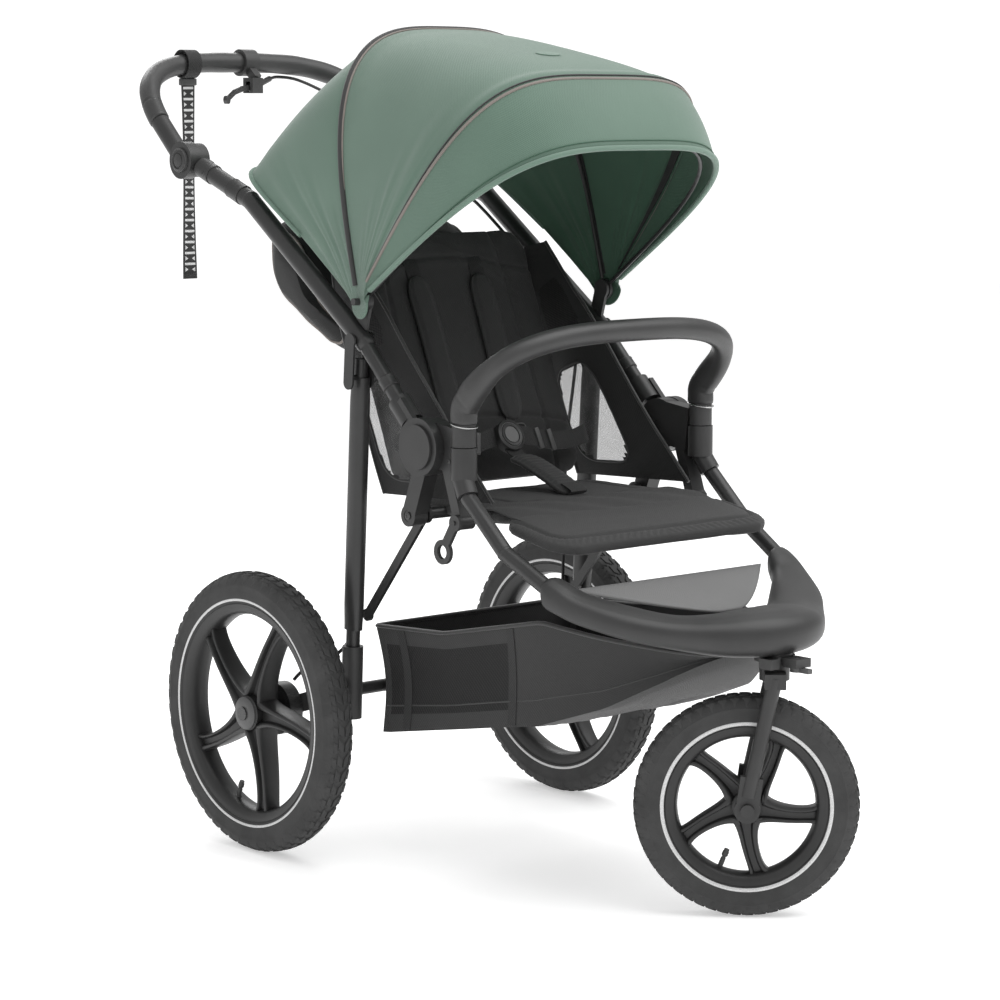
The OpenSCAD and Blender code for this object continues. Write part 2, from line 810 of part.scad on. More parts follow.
module front_tyre() {
    color([0.07, 0.07, 0.07]) placed() steered() translate([0, trail, front_r]) rotate([0, 90, 0])
        tyre(front_seat, front_r, front_w);
}

frame_tubes();
hinge_housing_right();
hinge_housing_left();
nose_cover();
foot_panel();
head_tube();
seat_cross_bar();
seat_pad();
side_panel_right();
side_panel_left();
crotch_pad();
buckle();
buckle_button();
basket();
fold_latch();
bumper_bar();
bumper_ends();
leg_rest();
backrest();
shoulder_straps();
waist_straps();
push_tube_right();
push_tube_left();
fold_disc_right();
fold_disc_left();
handle_hub_inner();
canopy_mounts();
rear_bow();
canopy_rear();
rear_bag();
mid_bow();
canopy_mid();
front_bow();
canopy_visor();
handle_bar();
handle_arms();
handle_button_right();
handle_button_left();
brake_clamp();
brake_lever();
handle_cable();
frame_cable();
wrist_strap();
rear_legs();
leg_brackets();
foot_holders();
cross_axle();
trailing_arms();
drum_brakes();
leg_cable();
parking_pedal();
links();
rear_rim_right();
rear_tyre_right();
rear_rim_left();
rear_tyre_left();
fork();
swivel_lock();
front_rim();
front_tyre();
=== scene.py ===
import bpy
import math
from mathutils import Matrix, Vector


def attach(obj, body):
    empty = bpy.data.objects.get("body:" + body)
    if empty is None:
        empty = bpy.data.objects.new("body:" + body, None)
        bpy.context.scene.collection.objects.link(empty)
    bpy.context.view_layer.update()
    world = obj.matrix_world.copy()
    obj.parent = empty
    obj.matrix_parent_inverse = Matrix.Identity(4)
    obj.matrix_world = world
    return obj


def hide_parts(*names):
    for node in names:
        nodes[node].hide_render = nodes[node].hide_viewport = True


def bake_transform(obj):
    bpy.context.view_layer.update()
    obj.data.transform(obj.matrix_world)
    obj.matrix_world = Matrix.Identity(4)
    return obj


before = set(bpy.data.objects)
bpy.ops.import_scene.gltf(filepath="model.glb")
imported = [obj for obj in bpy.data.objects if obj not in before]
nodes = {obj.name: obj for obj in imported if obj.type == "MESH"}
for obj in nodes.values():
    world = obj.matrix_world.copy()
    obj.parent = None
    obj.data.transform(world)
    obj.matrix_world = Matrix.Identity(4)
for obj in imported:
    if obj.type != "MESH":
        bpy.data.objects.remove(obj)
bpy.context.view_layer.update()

centreY = 9.6          # the drawing's middle along its length, millimetres
print("frame loaded:", len(nodes), "solids")


# small helpers

def at(x, y, z):
    # a point of the drawing, in metres
    return Vector((x / 1000, (y - centreY) / 1000, z / 1000))


def mix(a, b, t):
    return a + (b - a) * t


def ease(t):
    t = max(0.0, min(1.0, t))
    return t * t * (3 - 2 * t)


def bell(d, width):
    return math.exp(-(d / width) ** 2)


def clearSelection():
    if bpy.context.object and bpy.context.object.mode != "OBJECT":
        bpy.ops.object.mode_set(mode="OBJECT")
    bpy.ops.object.select_all(action="DESELECT")


def pick(piece):
    clearSelection()
    piece.select_set(True)
    bpy.context.view_layer.objects.active = piece
    return piece


def curveThrough(points, steps=8, closed=False):
    # smooth line through a few chosen points
    count = len(points)
    line = []
    spans = count if closed else count - 1
    for i in range(spans):
        if closed:
            a, b, c, d = (points[(i + k - 1) % count] for k in range(4))
        else:
            a, b, c, d = points[max(i - 1, 0)], points[i], points[i + 1], points[min(i + 2, count - 1)]
        for j in range(steps):
            t = j / steps
            line.append(0.5 * (2 * b + (c - a) * t + (2 * a - 5 * b + 4 * c - d) * t * t
                               + (3 * b - a - 3 * c + d) * t ** 3))
    if not closed:
        line.append(points[-1].copy())
    return line


def evenly(line, count):
    # the same line with its points at equal distances
    far = [0.0]
    for a, b in zip(line, line[1:]):
        far.append(far[-1] + (b - a).length)
    out, k = [], 0
    for i in range(count):
        want = far[-1] * i / (count - 1)
        while k < len(far) - 2 and far[k + 1] < want:
            k += 1
        span = far[k + 1] - far[k] or 1e-9
        out.append(line[k].lerp(line[k + 1], max(0, min(1, (want - far[k]) / span))))
    return out


def finishShape(piece, modifiers=(), smooth=40, merge=True, outward=True):
    pick(piece)
    bpy.ops.object.mode_set(mode="EDIT")
    bpy.ops.mesh.select_all(action="SELECT")
    if merge:
        bpy.ops.mesh.remove_doubles(threshold=0.00002)
    if outward:
        bpy.ops.mesh.normals_make_consistent(inside=False)
    bpy.ops.object.mode_set(mode="OBJECT")
    for kind, settings in modifiers:
        modifier = piece.modifiers.new(kind, kind)
        for key, value in settings.items():
            setattr(modifier, key, value)
        bpy.ops.object.modifier_apply(modifier=modifier.name)
    if smooth is not None:
        bpy.ops.object.shade_smooth_by_angle(angle=math.radians(smooth))
    return piece


def loft(name, rings, closed=True, capped=True, modifiers=(), smooth=40, outward=True):
    # a grid primitive whose rows follow the rings; UVs are metres along and across
    columns = len(rings[0]) - (0 if closed else 1)
    rows = len(rings) - 1
    clearSelection()
    bpy.ops.mesh.primitive_grid_add(x_subdivisions=columns, y_subdivisions=rows, size=2)
    piece = bpy.context.object
    piece.name = name
    mesh = piece.data
    across = [0.0]
    middle = rings[len(rings) // 2]
    for k in range(columns):
        across.append(across[-1] + (middle[(k + 1) % len(middle)] - middle[k]).length)
    along = [0.0]
    for a, b in zip(rings, rings[1:]):
        along.append(along[-1] + sum((q - p).length for p, q in zip(a, b)) / len(a))
    place = []
    for vertex in mesh.vertices:
        k = round((vertex.co.x + 1) / 2 * columns)
        r = round((vertex.co.y + 1) / 2 * rows)
        place.append((k, r))
    for loop in mesh.loops:
        k, r = place[loop.vertex_index]
        mesh.uv_layers[0].data[loop.index].uv = (across[k], along[r])
    for vertex, (k, r) in zip(mesh.vertices, place):
        vertex.co = rings[r][k % len(rings[r])]
    if closed and capped:
        pick(piece)
        bpy.ops.object.mode_set(mode="EDIT")
        bpy.ops.mesh.select_all(action="SELECT")
        bpy.ops.mesh.remove_doubles(threshold=0.00002)
        bpy.ops.mesh.select_all(action="SELECT")
        bpy.ops.mesh.fill_holes(sides=0)
        bpy.ops.object.mode_set(mode="OBJECT")
    return finishShape(piece, modifiers, smooth, True, outward)


def ringRound(centre, side, up, wide, high, count=24, power=2.0):
    # a super-elliptic ring in the plane of side and up
    ring = []
    for k in range(count):
        a = 2 * math.pi * k / count
        c, s = math.cos(a), math.sin(a)
        ring.append(centre + side * (math.copysign(abs(c) ** (2 / power), c) * wide)
                    + up * (math.copysign(abs(s) ** (2 / power), s) * high))
    return ring


def tubeAlong(name, line, radius, sides=12, up=(0, 0, 1), flat=1.0, power=2.0, smooth=50, ends=True):
    # a swept bar; flat squashes it along its own up direction
    up = Vector(up)
    rings = []
    for i, point in enumerate(line):
        way = (line[min(i + 1, len(line) - 1)] - line[max(i - 1, 0)]).normalized()
        side = way.cross(up).normalized()
        own = side.cross(way).normalized()
        r = radius(i / (len(line) - 1)) if callable(radius) else radius
        rings.append(ringRound(point, side, own, r, r * flat, sides, power))
    return loft(name, rings, True, ends, (), smooth)


def ribbon(name, line, side, width, thick, modifiers=(), crown=0.0, columns=4, smooth=40):
    # flat webbing along a line; side is a vector or one vector for each point
    rings = []
    for i, point in enumerate(line):
        way = (line[min(i + 1, len(line) - 1)] - line[max(i - 1, 0)]).normalized()
        s = side[i] if isinstance(side, list) else Vector(side)
        s = (s - way * s.dot(way)).normalized()
        face = s.cross(way)
        wide = width(i / (len(line) - 1)) if callable(width) else width
        rings.append([point + s * (wide * (k / columns - 0.5))
                      + face * crown * math.sin(math.pi * k / columns) for k in range(columns + 1)])
    wall = [("SOLIDIFY", {"thickness": thick, "offset": 0.0}), *modifiers]
    return loft(name, rings, False, False, wall, smooth, False)


def lathe(name, profile, matrix, steps=96, smooth=40):
    # spins a closed outline of (radius, along) round the piece's own X axis
    clearSelection()
    bpy.ops.mesh.primitive_circle_add(vertices=len(profile), radius=0.01)
    piece = bpy.context.object
    piece.name = name
    for vertex, (radius, along) in zip(piece.data.vertices, profile):
        vertex.co = (along / 1000, 0, radius / 1000)
    bpy.ops.object.mode_set(mode="EDIT")
    bpy.ops.mesh.select_all(action="SELECT")
    bpy.ops.mesh.spin(steps=steps, angle=math.tau, center=(0, 0, 0), axis=(1, 0, 0))
    bpy.ops.mesh.select_all(action="SELECT")
    bpy.ops.mesh.remove_doubles(threshold=0.00002)
    bpy.ops.mesh.dissolve_degenerate(threshold=0.00001)
    bpy.ops.object.mode_set(mode="OBJECT")
    piece.data.transform(matrix)
    return finishShape(piece, (), smooth)


def bevelBlock(name, centre, size, turn=None, bevel=0.001, segments=2, smooth=40):
    # a small moulded block, bevelled and finished
    clearSelection()
    bpy.ops.mesh.primitive_cube_add(size=1)
    piece = bpy.context.object
    piece.name = name
    matrix = Matrix.Translation(centre) @ (turn or Matrix.Identity(4)) @ Matrix.Diagonal((*size, 1))
    piece.data.transform(matrix)
    bpy.ops.object.mode_set(mode="EDIT")
    bpy.ops.mesh.select_all(action="SELECT")
    bpy.ops.mesh.bevel(offset=bevel, segments=segments, affect="EDGES")
    bpy.ops.object.mode_set(mode="OBJECT")
    return finishShape(piece, (), smooth, False, False)


def joined(name, pieces):
    pieces = [p for p in pieces if p]
    clearSelection()
    for piece in pieces:
        piece.select_set(True)
    bpy.context.view_layer.objects.active = pieces[0]
    bpy.ops.object.join()
    pieces[0].name = name
    return pieces[0]


def copyOf(piece, name, matrix):
    twin = piece.copy()
    twin.data = piece.data.copy()
    twin.name = name
    bpy.context.scene.collection.objects.link(twin)
    twin.data.transform(matrix)
    if matrix.determinant() < 0:
        twin.data.flip_normals()
    return twin


def turnX(degrees):
    return Matrix.Rotation(math.radians(degrees), 4, "X")


def dress(piece, *finishes):
    piece.data.materials.clear()
    for finish in finishes:
        piece.data.materials.append(finish.material)
    return piece


def settle(piece, body, finish, replaces=()):
    # a finished piece gets its look, its body and the solids it stands for
    dress(piece, *(finish if isinstance(finish, (list, tuple)) else [finish]))
    if body:
        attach(piece, body)
    if replaces:
        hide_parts(*replaces)
    return piece


# materials: sums on sockets, and one way to add any node

class Signal:
    def __init__(self, finish, socket):
        self.finish = finish
        self.socket = socket

    def sum(self, operation, first, second):
        node = self.finish.add("ShaderNodeMath", {"operation": operation}, {0: first, 1: second})
        return Signal(self.finish, node.outputs[0])

    def __add__(self, other):
        return self.sum("ADD", self, other)

    def __radd__(self, other):
        return self.sum("ADD", other, self)

    def __sub__(self, other):
        return self.sum("SUBTRACT", self, other)

    def __rsub__(self, other):
        return self.sum("SUBTRACT", other, self)

    def __mul__(self, other):
        return self.sum("MULTIPLY", self, other)

    def __rmul__(self, other):
        return self.sum("MULTIPLY", other, self)

    def __truediv__(self, other):
        return self.sum("DIVIDE", self, other)

    def low(self, other):
        return self.sum("MINIMUM", self, other)

    def above(self, other):
        return self.sum("GREATER_THAN", self, other)

    def wave(self, scale, shift=0.0):
        return self.sum("SINE", self * scale + shift, 0.0)

    def size(self):
        return self.sum("ABSOLUTE", self, 0.0)

    def clamped(self, low, high):
        node = self.finish.add("ShaderNodeMapRange", {"clamp": True},
                               {"Value": self, "From Min": low, "From Max": high})
        return Signal(self.finish, node.outputs["Result"])


class Finish:
    def __init__(self, name, base, rough=0.5, **sockets):
        self.material = bpy.data.materials.new(name)
        self.material.use_nodes = True
        self.tree = self.material.node_tree
        self.shader = self.tree.nodes["Principled BSDF"]
        self.shader.inputs["Base Color"].default_value = (*base, 1)
        self.shader.inputs["Roughness"].default_value = rough
        for key, value in sockets.items():
            self.shader.inputs[key.replace("_", " ")].default_value = value

    def link(self, value, socket):
        if isinstance(value, Signal):
            value = value.socket
        if isinstance(value, bpy.types.NodeSocket):
            self.tree.links.new(value, socket)
        elif (hasattr(value, "__len__") and len(value) == 3
              and len(getattr(socket, "default_value", "xxx")) == 4):
            socket.default_value = (*value, 1)
        else:
            socket.default_value = value

    def add(self, kind, settings=None, inputs=None):
        node = self.tree.nodes.new(kind)
        for key, value in (settings or {}).items():
            if key == "stops":
                ramp = node.color_ramp
                for i, (place, colour) in enumerate(value):
                    stop = ramp.elements[i] if i < 2 else ramp.elements.new(place)
                    stop.position = place
                    stop.color = (*colour, 1)
            else:
                setattr(node, key, value)
        for key, value in (inputs or {}).items():
            self.link(value, node.inputs[key])
        return node

    def coords(self, kind="Object"):
        return self.add("ShaderNodeTexCoord").outputs[kind]

    def axes(self, kind="Object"):
        node = self.add("ShaderNodeSeparateXYZ", None, {0: self.coords(kind)})
        return [Signal(self, node.outputs[i]) for i in range(3)]

    def noise(self, scale, detail=3.0, rough=0.5, kind="Object", stretch=None):
        vector = self.coords(kind)
        if stretch:
            vector = self.add("ShaderNodeMapping", None, {"Vector": vector, "Scale": stretch}).outputs[0]
        node = self.add("ShaderNodeTexNoise", None, {"Vector": vector, "Scale": scale, "Detail": detail,
                                                      "Roughness": rough})
        return Signal(self, node.outputs[0])

    def cells(self, scale, kind="Object"):
        node = self.add("ShaderNodeTexVoronoi", None, {"Vector": self.coords(kind), "Scale": scale})
        return Signal(self, node.outputs["Distance"])

    def colours(self, factor, first, second):
        node = self.add("ShaderNodeMix", {"data_type": "RGBA"}, None)
        for socket, value in ((node.inputs[0], factor), (node.inputs[6], first), (node.inputs[7], second)):
            self.link(value, socket)
        return node.outputs[2]

    def paint(self, factor, first, second):
        self.link(self.colours(factor, first, second), self.shader.inputs["Base Color"])

    def feed(self, name, value):
        self.link(value, self.shader.inputs[name])

    def bump(self, height, distance, strength=1.0):
        node = self.add("ShaderNodeBump", None,
                        {"Strength": strength, "Distance": distance, "Height": height})
        self.link(node.outputs[0], self.shader.inputs["Normal"])


def shade(value):
    # a grey or colour given as it looks on screen, 0 to 255
    values = value if isinstance(value, (tuple, list)) else (value,) * 3
    return tuple(((v / 255 + 0.055) / 1.055) ** 2.4 if v > 10 else v / 255 / 12.92 for v in values)


def wovenCloth(name, light, dark, thread=0.0016, rough=0.85, depth=0.0003, sheen=0.25,
               melange=0.5, kind="UV"):
    # plain weave: threads cross over and under, each a little different in tone
    finish = Finish(name, shade(light), rough, Sheen_Weight=sheen, Sheen_Roughness=0.5)
    x, y, z = finish.axes(kind)
    turn = math.pi / thread
    if kind == "UV":
        over = x.wave(turn) * y.wave(turn)
        threads = (x.wave(turn * 2).size() * 0.5 + y.wave(turn * 2, 1.2).size() * 0.5)
    else:
        slant = x + y * 0.35
        over = slant.wave(turn) * (z + y * 0.94).wave(turn)
        threads = slant.wave(turn * 2).size() * 0.5 + z.wave(turn * 2, 1.0).size() * 0.5
    flecks = finish.noise(900, 2.0, 0.6, kind)
    soft = finish.noise(9, 3.0, 0.5)
    finish.paint((flecks.clamped(0.35, 0.68) * melange
                  + soft.clamped(0.3, 0.75) * (1 - melange)).clamped(0.0, 1.0), shade(dark), shade(light))
    finish.feed("Roughness", rough - 0.1 + flecks * 0.16)
    finish.bump(over * 0.5 + threads * 0.3 + soft * 1.2, depth)
    return finish


def grainedPlastic(name, tone, rough=0.5, grain=0.00012, scale=1500, wear=0.06):
    finish = Finish(name, shade(tone), rough)
    fine = finish.noise(scale, 2.0, 0.55)
    broad = finish.noise(14, 3.0, 0.5)
    light = tuple(min(255, v + 9) for v in (tone if isinstance(tone, (tuple, list)) else (tone,) * 3))
    finish.paint(broad.clamped(0.35, 0.7), shade(tone), shade(light))
    finish.feed("Roughness", rough - wear + fine * wear * 1.5 + broad * wear * 0.6)
    finish.bump(fine, grain)
    return finish


# camera, light and floor

studio = {"place": (-2.848, -3.2596, 1.058), "target": (-0.259, -0.2956, 0.553), "lens": 108.9,
          "world": 0.62, "backdrop": 1.15, "key": 150, "fill": 8, "back": 46, "floor": 247, "glow": 0.42}

cameraData = bpy.data.cameras.new("camera")
camera = bpy.data.objects.new("camera", cameraData)
bpy.context.scene.collection.objects.link(camera)
camera.location = studio["place"]
camera.rotation_mode = "QUATERNION"
camera.rotation_quaternion = (Vector(studio["target"]) - camera.location).to_track_quat("-Z", "Y")
cameraData.lens = studio["lens"]
cameraData.sensor_width = 36
cameraData.clip_end = 60
bpy.context.scene.camera = camera

world = bpy.data.worlds.new("softRoom")
bpy.context.scene.world = world
world.use_nodes = True
world.node_tree.nodes["Background"].inputs[0].default_value = (1, 1, 1, 1)
world.node_tree.nodes["Background"].inputs[1].default_value = studio["world"]
rays = world.node_tree.nodes.new("ShaderNodeLightPath")
brighter = world.node_tree.nodes.new("ShaderNodeMapRange")   # the backdrop is whiter than the room's light
brighter.inputs["To Min"].default_value = studio["world"]
brighter.inputs["To Max"].default_value = studio["backdrop"]
world.node_tree.links.new(rays.outputs["Is Camera Ray"], brighter.inputs["Value"])
world.node_tree.links.new(brighter.outputs["Result"], world.node_tree.nodes["Background"].inputs[1])
bpy.context.scene.view_settings.view_transform = "Standard"


def softBox(name, place, target, size, power):
    lamp = bpy.data.lights.new(name, "AREA")
    lamp.shape = "RECTANGLE"
    lamp.size, lamp.size_y = size
    lamp.energy = power
    box = bpy.data.objects.new(name, lamp)
    bpy.context.scene.collection.objects.link(box)
    box.location = place
    box.rotation_mode = "QUATERNION"
    box.rotation_quaternion = (Vector(target) - box.location).to_track_quat("-Z", "Y")


softBox("keyLight", (1.0, -1.6, 4.2), (0, 0, 0.5), (4.4, 4.4), studio["key"])
softBox("fillLight", (-3.4, -0.6, 1.8), (0, 0, 0.5), (1.6, 2.2), studio["fill"])
softBox("backLight", (1.2, 3.2, 2.8), (0, 0, 0.7), (2.2, 1.6), studio["back"])

clearSelection()
bpy.ops.mesh.primitive_plane_add(size=24, location=(0, 0, 0))
floor = bpy.context.object
floor.name = "studioFloor"
floorPaint = Finish("paleFloor", shade(studio["floor"]), 0.85)
floorPaint.paint(floorPaint.noise(1.3, 2.0).clamped(0.3, 0.7), shade(studio["floor"]),
                 shade(studio["floor"] + 3))
floorPaint.shader.inputs["Emission Color"].default_value = (1, 1, 1, 1)
floorPaint.shader.inputs["Emission Strength"].default_value = studio["glow"]   # a lit white sweep
dress(floor, floorPaint)
print("camera, lights and floor are set")


# finishes

canopyCloth = wovenCloth("canopyCloth", (96, 122, 107), (86, 111, 97), 0.0014, 0.78, 0.00022, 0.3, 0.4)
canopyLining = wovenCloth("canopyLining", (72, 106, 86), (58, 90, 72), 0.0016, 0.85, 0.0002, 0.2, 0.6)
canopyTrim = wovenCloth("canopyTrim", (110, 136, 121), (98, 123, 109), 0.0012, 0.75, 0.0002, 0.3, 0.5)
seatCloth = wovenCloth("seatCloth", 56, 42, 0.0018, 0.88, 0.0003, 0.12, 0.8, "Object")
panelCloth = wovenCloth("panelCloth", 122, 106, 0.0016, 0.82, 0.0003, 0.2, 0.8, "UV")
blackCloth = wovenCloth("blackCloth", 36, 26, 0.0018, 0.82, 0.00025, 0.12, 0.6)
basketCloth = wovenCloth("basketCloth", 48, 38, 0.002, 0.8, 0.0003, 0.15, 0.6)
darkMesh = wovenCloth("darkMesh", 20, 10, 0.0026, 0.8, 0.0005, 0.05, 0.6)
webbingCloth = wovenCloth("webbingCloth", 40, 26, 0.0022, 0.75, 0.0004, 0.1, 0.4)
blackPiping = wovenCloth("blackPiping", 52, 38, 0.0014, 0.6, 0.0002, 0.2, 0.5, "Object")
greyPiping = wovenCloth("greyPiping", (140, 132, 126), (118, 110, 104), 0.0012, 0.6,
                        0.0002, 0.2, 0.5, "Object")
framePaint = grainedPlastic("framePaint", 40, 0.36, 0.00006, 2600, 0.05)
plastic = grainedPlastic("mouldedPlastic", 50, 0.5, 0.0001, 1700, 0.06)
nosePlastic = grainedPlastic("nosePlastic", 42, 0.46, 0.00008, 1900, 0.06)
discPlastic = grainedPlastic("discPlastic", 41, 0.4, 0.00008, 1900, 0.06)
rimPlastic = grainedPlastic("rimPlastic", 30, 0.42, 0.00008, 1500, 0.05)
capPlastic = grainedPlastic("capPlastic", 74, 0.36, 0.00005, 2200, 0.05)
gripCover = grainedPlastic("gripCover", 50, 0.4, 0.00025, 700, 0.08)
cableCover = grainedPlastic("cableCover", 34, 0.4, 0.00006, 2600, 0.05)

tyreRubber = Finish("tyreRubber", shade(56), 0.78)
dust = tyreRubber.noise(22, 5.0, 0.6)
tyreRubber.paint(dust.clamped(0.35, 0.7), shade(48), shade(64))
tyreRubber.feed("Roughness", 0.7 + dust * 0.2)
tyreRubber.bump(tyreRubber.noise(900, 3.0) + tyreRubber.cells(420) * 0.4, 0.00025)

reflective = Finish("reflectiveBand", shade(214), 0.32, Metallic=0.35)
reflective.paint(reflective.cells(700).clamped(0.0, 0.6), shade(226), shade(196))
reflective.feed("Roughness", 0.26 + reflective.cells(700) * 0.3)
reflective.bump(reflective.cells(700), 0.0001)

chrome = Finish("brightMetal", shade(188), 0.22, Metallic=1.0)
chrome.feed("Roughness", 0.16 + chrome.noise(260, 3.0) * 0.16)
chrome.bump(chrome.noise(900, 2.0), 0.00003)

darkMetal = Finish("darkMetal", shade(86), 0.38, Metallic=0.8)
scuffs = darkMetal.noise(180, 4.0, 0.6, "Object", (1, 1, 6))
darkMetal.paint(scuffs.clamped(0.35, 0.7), shade(70), shade(98))
darkMetal.feed("Roughness", 0.28 + scuffs * 0.22)
darkMetal.bump(scuffs, 0.00005)

# sheer window: round holes in a knitted net
sheerMesh = Finish("sheerMesh", shade(104), 0.85)
netX, netY = sheerMesh.axes("UV")[:2]
netHoles = netX.wave(math.tau / 0.0032) * netY.wave(math.tau / 0.0032)
sheerMesh.paint(sheerMesh.noise(40, 3.0).clamped(0.3, 0.7), shade(88), shade(116))
sheerMesh.feed("Alpha", 1.0 - netHoles.size().above(0.16) * 0.86)
sheerMesh.bump(netHoles, 0.0003)

# webbing with a plain printed bar-and-diamond pattern
printedWebbing = Finish("printedWebbing", shade(30), 0.72, Sheen_Weight=0.1)
webX, webY = printedWebbing.axes("UV")[:2]
beat = printedWebbing.add("ShaderNodeMath", {"operation": "PINGPONG"}, {0: webY, 1: 0.0085})
beat = Signal(printedWebbing, beat.outputs[0]) / 0.0085
across = (webX - 0.0125).size() / 0.0125
diamond = (beat + across * 0.9).above(1.25) * (0.72 - across).above(0.0)
bars = (0.22 - beat).above(0.0) * (0.78 - across).above(0.0)
pattern = (diamond + bars).low(1.0)
ribs = webY.wave(math.tau / 0.0012)
printedWebbing.paint(pattern, shade(34), shade(226))
printedWebbing.feed("Roughness", 0.7 + ribs * 0.06)
printedWebbing.bump(ribs + pattern * 0.6, 0.0002)
print("finishes are mixed")


# canopy

canopy = {"pivot": (37, 797), "rearPhi": 76, "hemPhi": 32, "midPhi": 129, "edgePhi": 146,
          "sag": 0.083, "lobe": 25, "across": 84, "cloth": 0.0024}


def canopySection(phi):
    # half width, reach and squareness of the cloth in the plane that leans by phi
    c = canopy
    if phi <= c["rearPhi"]:
        s = (phi - c["hemPhi"]) / (c["rearPhi"] - c["hemPhi"])
        p, q = math.radians(c["rearPhi"]), math.radians(c["hemPhi"])
        a = (390 * math.cos(p), 390 * math.sin(p))
        b = (331 * math.cos(q), 331 * math.sin(q))
        d = (b[0] - a[0], b[1] - a[1])
        r = math.radians(phi)
        reach = (a[0] * d[1] - a[1] * d[0]) / (math.cos(r) * d[1] - math.sin(r) * d[0])
        return (mix(232, 236.5, s), reach + 5 * math.sin(math.pi * s) + 7 * (1 - s) ** 2,
                mix(13.0, 3.2, s ** 0.62))
    if phi <= c["midPhi"]:
        s = (phi - c["rearPhi"]) / (c["midPhi"] - c["rearPhi"])
        reach = mix(390, 396, s) * (1 - c["sag"] * math.sin(math.pi * s) ** 0.9)
        reach += 3.5 * bell(phi - c["midPhi"] + 2.4, 1.5) + 2.0 * bell(phi - c["rearPhi"] - 2.2, 1.6)
        return mix(236.5, 242, s), reach, mix(3.2, 3.9, s)
    s = (phi - c["midPhi"]) / (c["edgePhi"] - c["midPhi"])
    return mix(242, 237, s), mix(395, 383, s) + 3.0 * math.sin(math.pi * s), mix(3.9, 3.6, s)


def canopyArch(phi, count, inset=0.0):
    # evenly spaced points of one arch from the right pivot to the left one, with the lobe below the pivot
    a, b, n = canopySection(phi)
    a, b = a - inset, b - inset
    fine = []
    for k in range(201):
        t = math.radians(mix(0.6, 89.999, (k / 200) ** 1.6))
        fine.append((a * math.cos(t) ** (2 / n), b * math.sin(t) ** (2 / n)))
    half = []
    far = [0.0]
    for p, q in zip(fine, fine[1:]):
        far.append(far[-1] + math.dist(p, q))
    k = 0
    for i in range(count // 2 + 1):
        want = far[-1] * i / (count // 2)
        while k < len(far) - 2 and far[k + 1] < want:
            k += 1
        s = (want - far[k]) / (far[k + 1] - far[k])
        half.append((mix(fine[k][0], fine[k + 1][0], s), mix(fine[k][1], fine[k + 1][1], s)))
    y, z = canopy["pivot"]
    c, s = math.cos(math.radians(phi)), math.sin(math.radians(phi))
    return a, [(x, y + d * c, z + d * s, d) for x, d in half]


def canopyRing(phi, count, inset=0.0):
    a, half = canopyArch(phi, count, inset)
    y, z = canopy["pivot"]
    span = (phi - canopy["hemPhi"]) / (canopy["edgePhi"] - canopy["hemPhi"])
    under = math.radians(mix(-12, -208, span))
    lobe = [(a - 0.6, y + r * math.cos(under), z + r * math.sin(under), 0)
            for r in (canopy["lobe"], canopy["lobe"] * 0.55)]
    side = lobe + half
    right = [at(-x, py, pz) for x, py, pz, _ in side]
    left = [at(x, py, pz) for x, py, pz, _ in reversed(side[:-1])]
    return right + left


def pullFolds(points, phi):
    # soft creases that run up from the lower corners of the hood
    out = []
    for p in points:
        y, z = p.y * 1000 + centreY - canopy["pivot"][0], p.z * 1000 - canopy["pivot"][1]
        r = math.hypot(y, z)
        side = ease((abs(p.x) - 0.15) / 0.07)
        lift = 0.0
        for angle, reach, depth, width in ((41, 300, 5.0, 1.7), (50, 240, 4.2, 1.5), (60, 170, 3.0, 2.0),
                                           (70, 120, 2.0, 2.0), (104, 150, 2.6, 2.6),
                                           (114, 210, 4.2, 1.9), (120.5, 290, 5.2, 1.6),
                                           (125, 220, 3.0, 1.2), (98, 110, 1.5, 3.0)):
            lift += (depth * bell(phi - angle, width) * ease((r - 26) / 40)
                     * ease((reach * 1.25 - r) / (reach * 0.6)))
            lift -= (0.7 * depth * bell(phi - angle - 3, width * 1.3) * ease((r - 26) / 40)
                     * ease((reach * 1.2 - r) / (reach * 0.6)))
        out.append(p + Vector((math.copysign(lift * side / 1000, p.x), 0, 0)))
    return out


def canopySheet(name, phis):
    rings = [pullFolds(canopyRing(phi, canopy["across"]), phi) for phi in phis]
    sheetPiece = loft(name, rings, False, False, (), 60, False)
    pick(sheetPiece)
    middle = sum((p.normal for p in sheetPiece.data.polygons if p.center.z > 1.0), Vector())
    if middle.z < 0:
        sheetPiece.data.flip_normals()
    area = sum(p.area for p in sheetPiece.data.polygons)
    dress(sheetPiece, canopyCloth, canopyLining)
    wall = sheetPiece.modifiers.new("lining", "SOLIDIFY")
    wall.thickness = canopy["cloth"]
    wall.offset = -1
    wall.material_offset = 1
    wall.material_offset_rim = 0
    bpy.ops.object.modifier_apply(modifier="lining")
    smoother = sheetPiece.modifiers.new("smoother", "SUBSURF")
    smoother.levels = smoother.render_levels = 1
    bpy.ops.object.modifier_apply(modifier="smoother")
    bpy.ops.object.shade_smooth()
    return sheetPiece, area


def spread(first, last, steps):
    return [mix(first, last, i / steps) for i in range(steps + 1)]


def canopyPoint(phi, radius):
    y, z = canopy["pivot"]
    return at(0, y + radius * math.cos(math.radians(phi)), z + radius * math.sin(math.radians(phi)))


hood, hoodArea = canopySheet("canopyHood", spread(32, 74, 22) + spread(74.8, 79.6, 6)
                             + spread(81, 123, 22) + spread(123.8, 129, 8))
visor, visorArea = canopySheet("canopyVisor", spread(129, 146, 12))
middlePhi = 102.5
across = Vector((0, -math.sin(math.radians(middlePhi)), math.cos(math.radians(middlePhi))))
root = canopyPoint(middlePhi, 0)
root - across * 0.09
root + across * 0.09
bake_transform(hood)
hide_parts("canopy_rear", "canopy_mid")
hoodArea / 0.95 / 0.9
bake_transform(visor)
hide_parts("canopy_visor")
visorArea / 0.95 / 0.9


